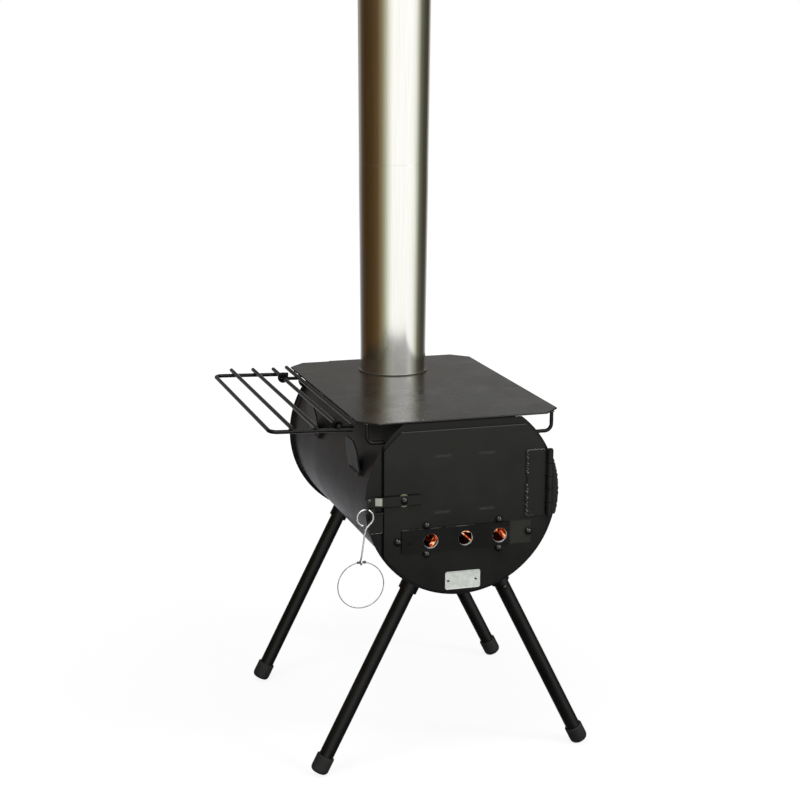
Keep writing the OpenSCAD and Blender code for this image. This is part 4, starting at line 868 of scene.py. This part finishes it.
def smooth_rod(name, tracks, radius, cyclic=False, sides=10):
    """A round wire along each track of points in metres, made as a curve and turned to mesh."""
    curve = bpy.data.curves.new(name, "CURVE")
    curve.dimensions = "3D"
    curve.bevel_depth = radius
    curve.bevel_resolution = max(0, sides // 2 - 2)
    curve.use_fill_caps = not cyclic
    for track in tracks:
        line = curve.splines.new("POLY")
        line.points.add(len(track) - 1)
        for point, where in zip(line.points, track):
            point.co = (*where, 1)
        line.use_cyclic_u = cyclic
    piece = bpy.data.objects.new(name, curve)
    bpy.context.scene.collection.objects.link(piece)
    pick(piece)
    bpy.ops.object.convert(target="MESH")
    return bpy.context.object


# The open eye, a neck down to the left, a turn back and the shank, which ends in the small eye
track = [on_arc(eye_centre, EYE_RADIUS, a) for a in (*range(255, -45, -6), -45)]
HALF = math.sqrt(0.5)
neck_end = track[-1] + Vector((-HALF, 0, -HALF)) * NECK
turn_centre = neck_end + Vector((HALF, 0, -HALF)) * TURN_RADIUS
track += [on_arc(turn_centre, TURN_RADIUS, a) for a in (*range(135, 173, 6), 172)]
shank_way = Vector((-math.sin(SHANK_LEAN), 0, -math.cos(SHANK_LEAN)))
small_eye = track[-1] + shank_way * SHANK + shank_way * SMALL_EYE
track += [track[-1] + shank_way * (SHANK * k / 6) for k in range(1, 6)]
track += [small_eye + Vector((0.5 * a / 320, SMALL_EYE * math.sin(math.radians(a)),
                              SMALL_EYE * math.cos(math.radians(a)))) for a in range(0, 325, 15)]
pull = smooth_rod("wire_pull_bent", [[at(*p) for p in track]], WIRE_RADIUS, sides=12)
finish_piece(pull, "wire_pull_bent", bright_wire, "pull_link", replaced=("wire_pull",), angle=60)

# Six strands laid together, at one turn in 9 mm
RING_RADIUS, LAY_RADIUS, STRAND_RADIUS, LAY_TURNS = 0.040, 0.00058, 0.00038, 28
ring_centre = at(*(small_eye + Vector((0, 0, -RING_RADIUS * 1000))))
strands = []
for strand in range(6):
    points = []
    for step in range(LAY_TURNS * 10):
        around_ring = 2 * math.pi * step / (LAY_TURNS * 10)
        twist = LAY_TURNS * around_ring + strand * math.pi / 3
        radial = RING_RADIUS + LAY_RADIUS * math.cos(twist)
        points.append(ring_centre + Vector((radial * math.sin(around_ring), LAY_RADIUS * math.sin(twist),
                                            radial * math.cos(around_ring))))
    strands.append(points)
cord_ring = smooth_rod("twisted_ring", strands, STRAND_RADIUS, cyclic=True, sides=6)
# Stranded steel cord: duller than the wire, because its thin strands are oxidised
steel_cord = clouded_finish("oxidised_steel_cord", 90.0, 3.0, [(0.35, "8a8885"), (0.65, "bcbcba")],
                            {"Metallic": 0.6, "Roughness": 0.5})[0]
finish_piece(cord_ring, "twisted_ring", steel_cord, "pull_ring", replaced=("pull_ring",), angle=60)
# The sleeve is dark oxidised steel, crimped in two grooves, with a ball at one end
dark_sleeve = clouded_finish("dark_crimped_sleeve", 420.0, 4.0, [(0.35, "3a3a39"), (0.7, "6a6a68")],
                             {"Metallic": 1.0, "Roughness": 0.4})[0]
sleeve = spun([(0.9, -6.75), (1.7, -6.75), (2.0, -6.4), (2.0, -4.2), (1.75, -3.8), (1.75, -3.2), (2.0, -2.8),
               (2.0, 2.8), (1.75, 3.2), (1.75, 3.8), (2.0, 4.2), (2.0, 4.9), (2.35, 5.6), (2.6, 6.75),
               (2.35, 7.9), (1.7, 8.7), (0.9, 9.2), (0, 9.35)], at(*small_eye), RIGHT, BACK, steps=28)
finish_piece(sleeve, "crimped_sleeve", dark_sleeve, "pull_ring")


# ---- Grate and fire ----
# Nine 8 mm rods on two bearers, scaled and burnt, and the split logs and kindling that burn on them.
# The fire behind the draught holes is theirs: char, thin hot cracks and tongues of flame.

# Burnt iron: flakes of grey and brown scale about 5 mm across
scaled_iron, tree, shader, place = new_finish("burnt_scaled_iron")
scale_map = add(tree, "TexVoronoi", {"Vector": place, "Scale": 220.0})
tone = add(tree, "ValToRGB", {"Fac": scale_map}, stops=[(0.1, "1c1714"), (0.5, "3c2f27"), (0.85, "63452f")])
bump = add(tree, "Bump", {"Height": scale_map, "Strength": 0.5, "Distance": 0.001})
feed(tree, shader, {"Base Color": tone, "Roughness": 0.85, "Normal": bump})
dress("grate_rods", scaled_iron)
dress("grate_bearers", scaled_iron)


def burning_wood(name, least, most, strength):
    """Charred wood with fire over part of it: tongues of about 8 mm along the grain, and thin hot cracks.
    The fire starts where the noise passes least and is white-hot at most."""
    made, tree, shader, place = new_finish(name)
    grained = add(tree, "Mapping", {"Vector": place, "Scale": (1, 0.4, 1)})
    blocks = add(tree, "TexVoronoi", {"Vector": grained, "Scale": 80.0}, feature="DISTANCE_TO_EDGE")
    flames = add(tree, "TexNoise", {"Vector": place, "Scale": 62.0, "Detail": 3.0, "Distortion": 1.6})
    tone = add(tree, "ValToRGB", {"Fac": flames},
               stops=[(0.4, "0c0806"), (0.6, "22120c"), (0.85, "5c524a")])
    crack = add(tree, "MapRange", {"Value": blocks, "From Min": 0.05, "From Max": 0.0, "To Max": 0.55})
    patch = add(tree, "MapRange", {"Value": flames, "From Min": least, "From Max": most})
    hot = add(tree, "Math", {0: crack, 1: patch}, operation="MAXIMUM")
    glow_tone = add(tree, "ValToRGB", {"Fac": hot}, stops=[
        (0.12, "000000"), (0.38, "4e1006"), (0.62, "a83612"), (0.82, "ea7638"), (1.0, "ffd2a4")])
    bump = add(tree, "Bump", {"Height": blocks, "Strength": 0.9, "Distance": 0.004})
    feed(tree, shader, {"Base Color": tone, "Roughness": 0.9, "Normal": bump,
                        "Emission Color": glow_tone, "Emission Strength": strength})
    return made


def split_wood(piece, plane_co, plane_no, cuts):
    """Splits a round or a square of wood along a plane, and cuts its faces up to take an uneven surface."""
    pick(piece)
    bpy.ops.object.mode_set(mode="EDIT")
    bpy.ops.mesh.select_all(action="SELECT")
    bpy.ops.mesh.bisect(plane_co=plane_co, plane_no=plane_no, use_fill=True, clear_outer=True)
    bpy.ops.mesh.select_all(action="SELECT")
    bpy.ops.mesh.subdivide(number_cuts=cuts)
    bpy.ops.object.mode_set(mode="OBJECT")


# Each log: its middle, length and radius, and how far it is turned and leans
charred_log = burning_wood("charred_log_with_embers", 0.5, 0.74, 0.8)
red_log = burning_wood("log_burning_red", 0.36, 0.7, 0.85)
for index, (x, y, z, length, radius, turn, lean) in enumerate((
        (-38, 185, -77, 235, 27, 10, 0), (28, 190, -79, 250, 25, -6, 0), (-6, 175, -36, 220, 24, -22, 4),
        (92, 170, -80, 200, 24, 4, 0))):
    bpy.ops.object.select_all(action="DESELECT")
    bpy.ops.mesh.primitive_cylinder_add(vertices=28, radius=radius / 1000, depth=length / 1000,
                                        location=(0, 0, 0))
    log = bpy.context.object
    split_wood(log, (radius * 0.00045, 0, 0), (1, 0.3, 0), 7)
    for vertex in log.data.vertices:
        p = vertex.co * 1000
        bark = 0.9 * math.sin(p.x * 0.55 + index) * math.sin(p.y * 0.5 + 0.8 * index)
        ridge = bark + 0.8 * math.sin(p.z * 0.09 + index * 2)
        spread = Vector((p.x, p.y, 0))
        if spread.length > 0.1:
            vertex.co += spread.normalized() * ridge / 1000
    log.rotation_euler = (math.pi / 2 + math.radians(lean), math.radians(40 * index), math.radians(turn))
    log.location = at(x, y, z)
    wood = red_log if index == 3 else charred_log
    finish_piece(log, "burning_log_%d" % index, wood, "grate", angle=30)

# Split kindling that leans on the logs' ends, one corner of each stick burning bright
kindling_fire = burning_wood("kindling_in_flame", 0.3, 0.62, 1.0)
hottest_fire = burning_wood("kindling_nearly_white", 0.12, 0.5, 1.0)
for index, (top, foot, thick) in enumerate((
        (at(2, 60, -64), at(42, 46, -101), 2.4), (at(-2, 59, -76), at(50, 59, -79), 6.5),
        (at(-16, 60, -64), at(-42, 46, -101), 6.5), (at(72, 60, -66), at(104, 48, -99), 8.0))):
    bpy.ops.object.select_all(action="DESELECT")
    bpy.ops.mesh.primitive_cube_add(size=1, location=(0, 0, 0))
    stick = bpy.context.object
    way = foot - top
    stick.scale = (thick / 1000, thick * 0.7 / 1000, way.length)
    bpy.ops.object.transform_apply(location=True, rotation=True, scale=True)
    split_wood(stick, (thick * 0.0002, 0, 0), (1, 0.8, 0.03), 5)
    for vertex in stick.data.vertices:
        p = vertex.co * 1000
        vertex.co.x += 0.0007 * math.sin(p.z * 0.23 + index)
        vertex.co.y += 0.0006 * math.sin(p.z * 0.31 + 2 * index)
    stick.rotation_euler = way.to_track_quat("Z", "Y").to_euler()
    stick.location = (top + foot) / 2
    wood = hottest_fire if index < 2 else kindling_fire
    finish_piece(stick, "kindling_%d" % index, wood, "grate", angle=30)

# What is left among the CAD nodes is painted like the plates
for name, node in nodes.items():
    if not node.data.materials or node.data.materials[0] is None or not node.data.materials[0].use_nodes:
        dress(name, satin_paint)
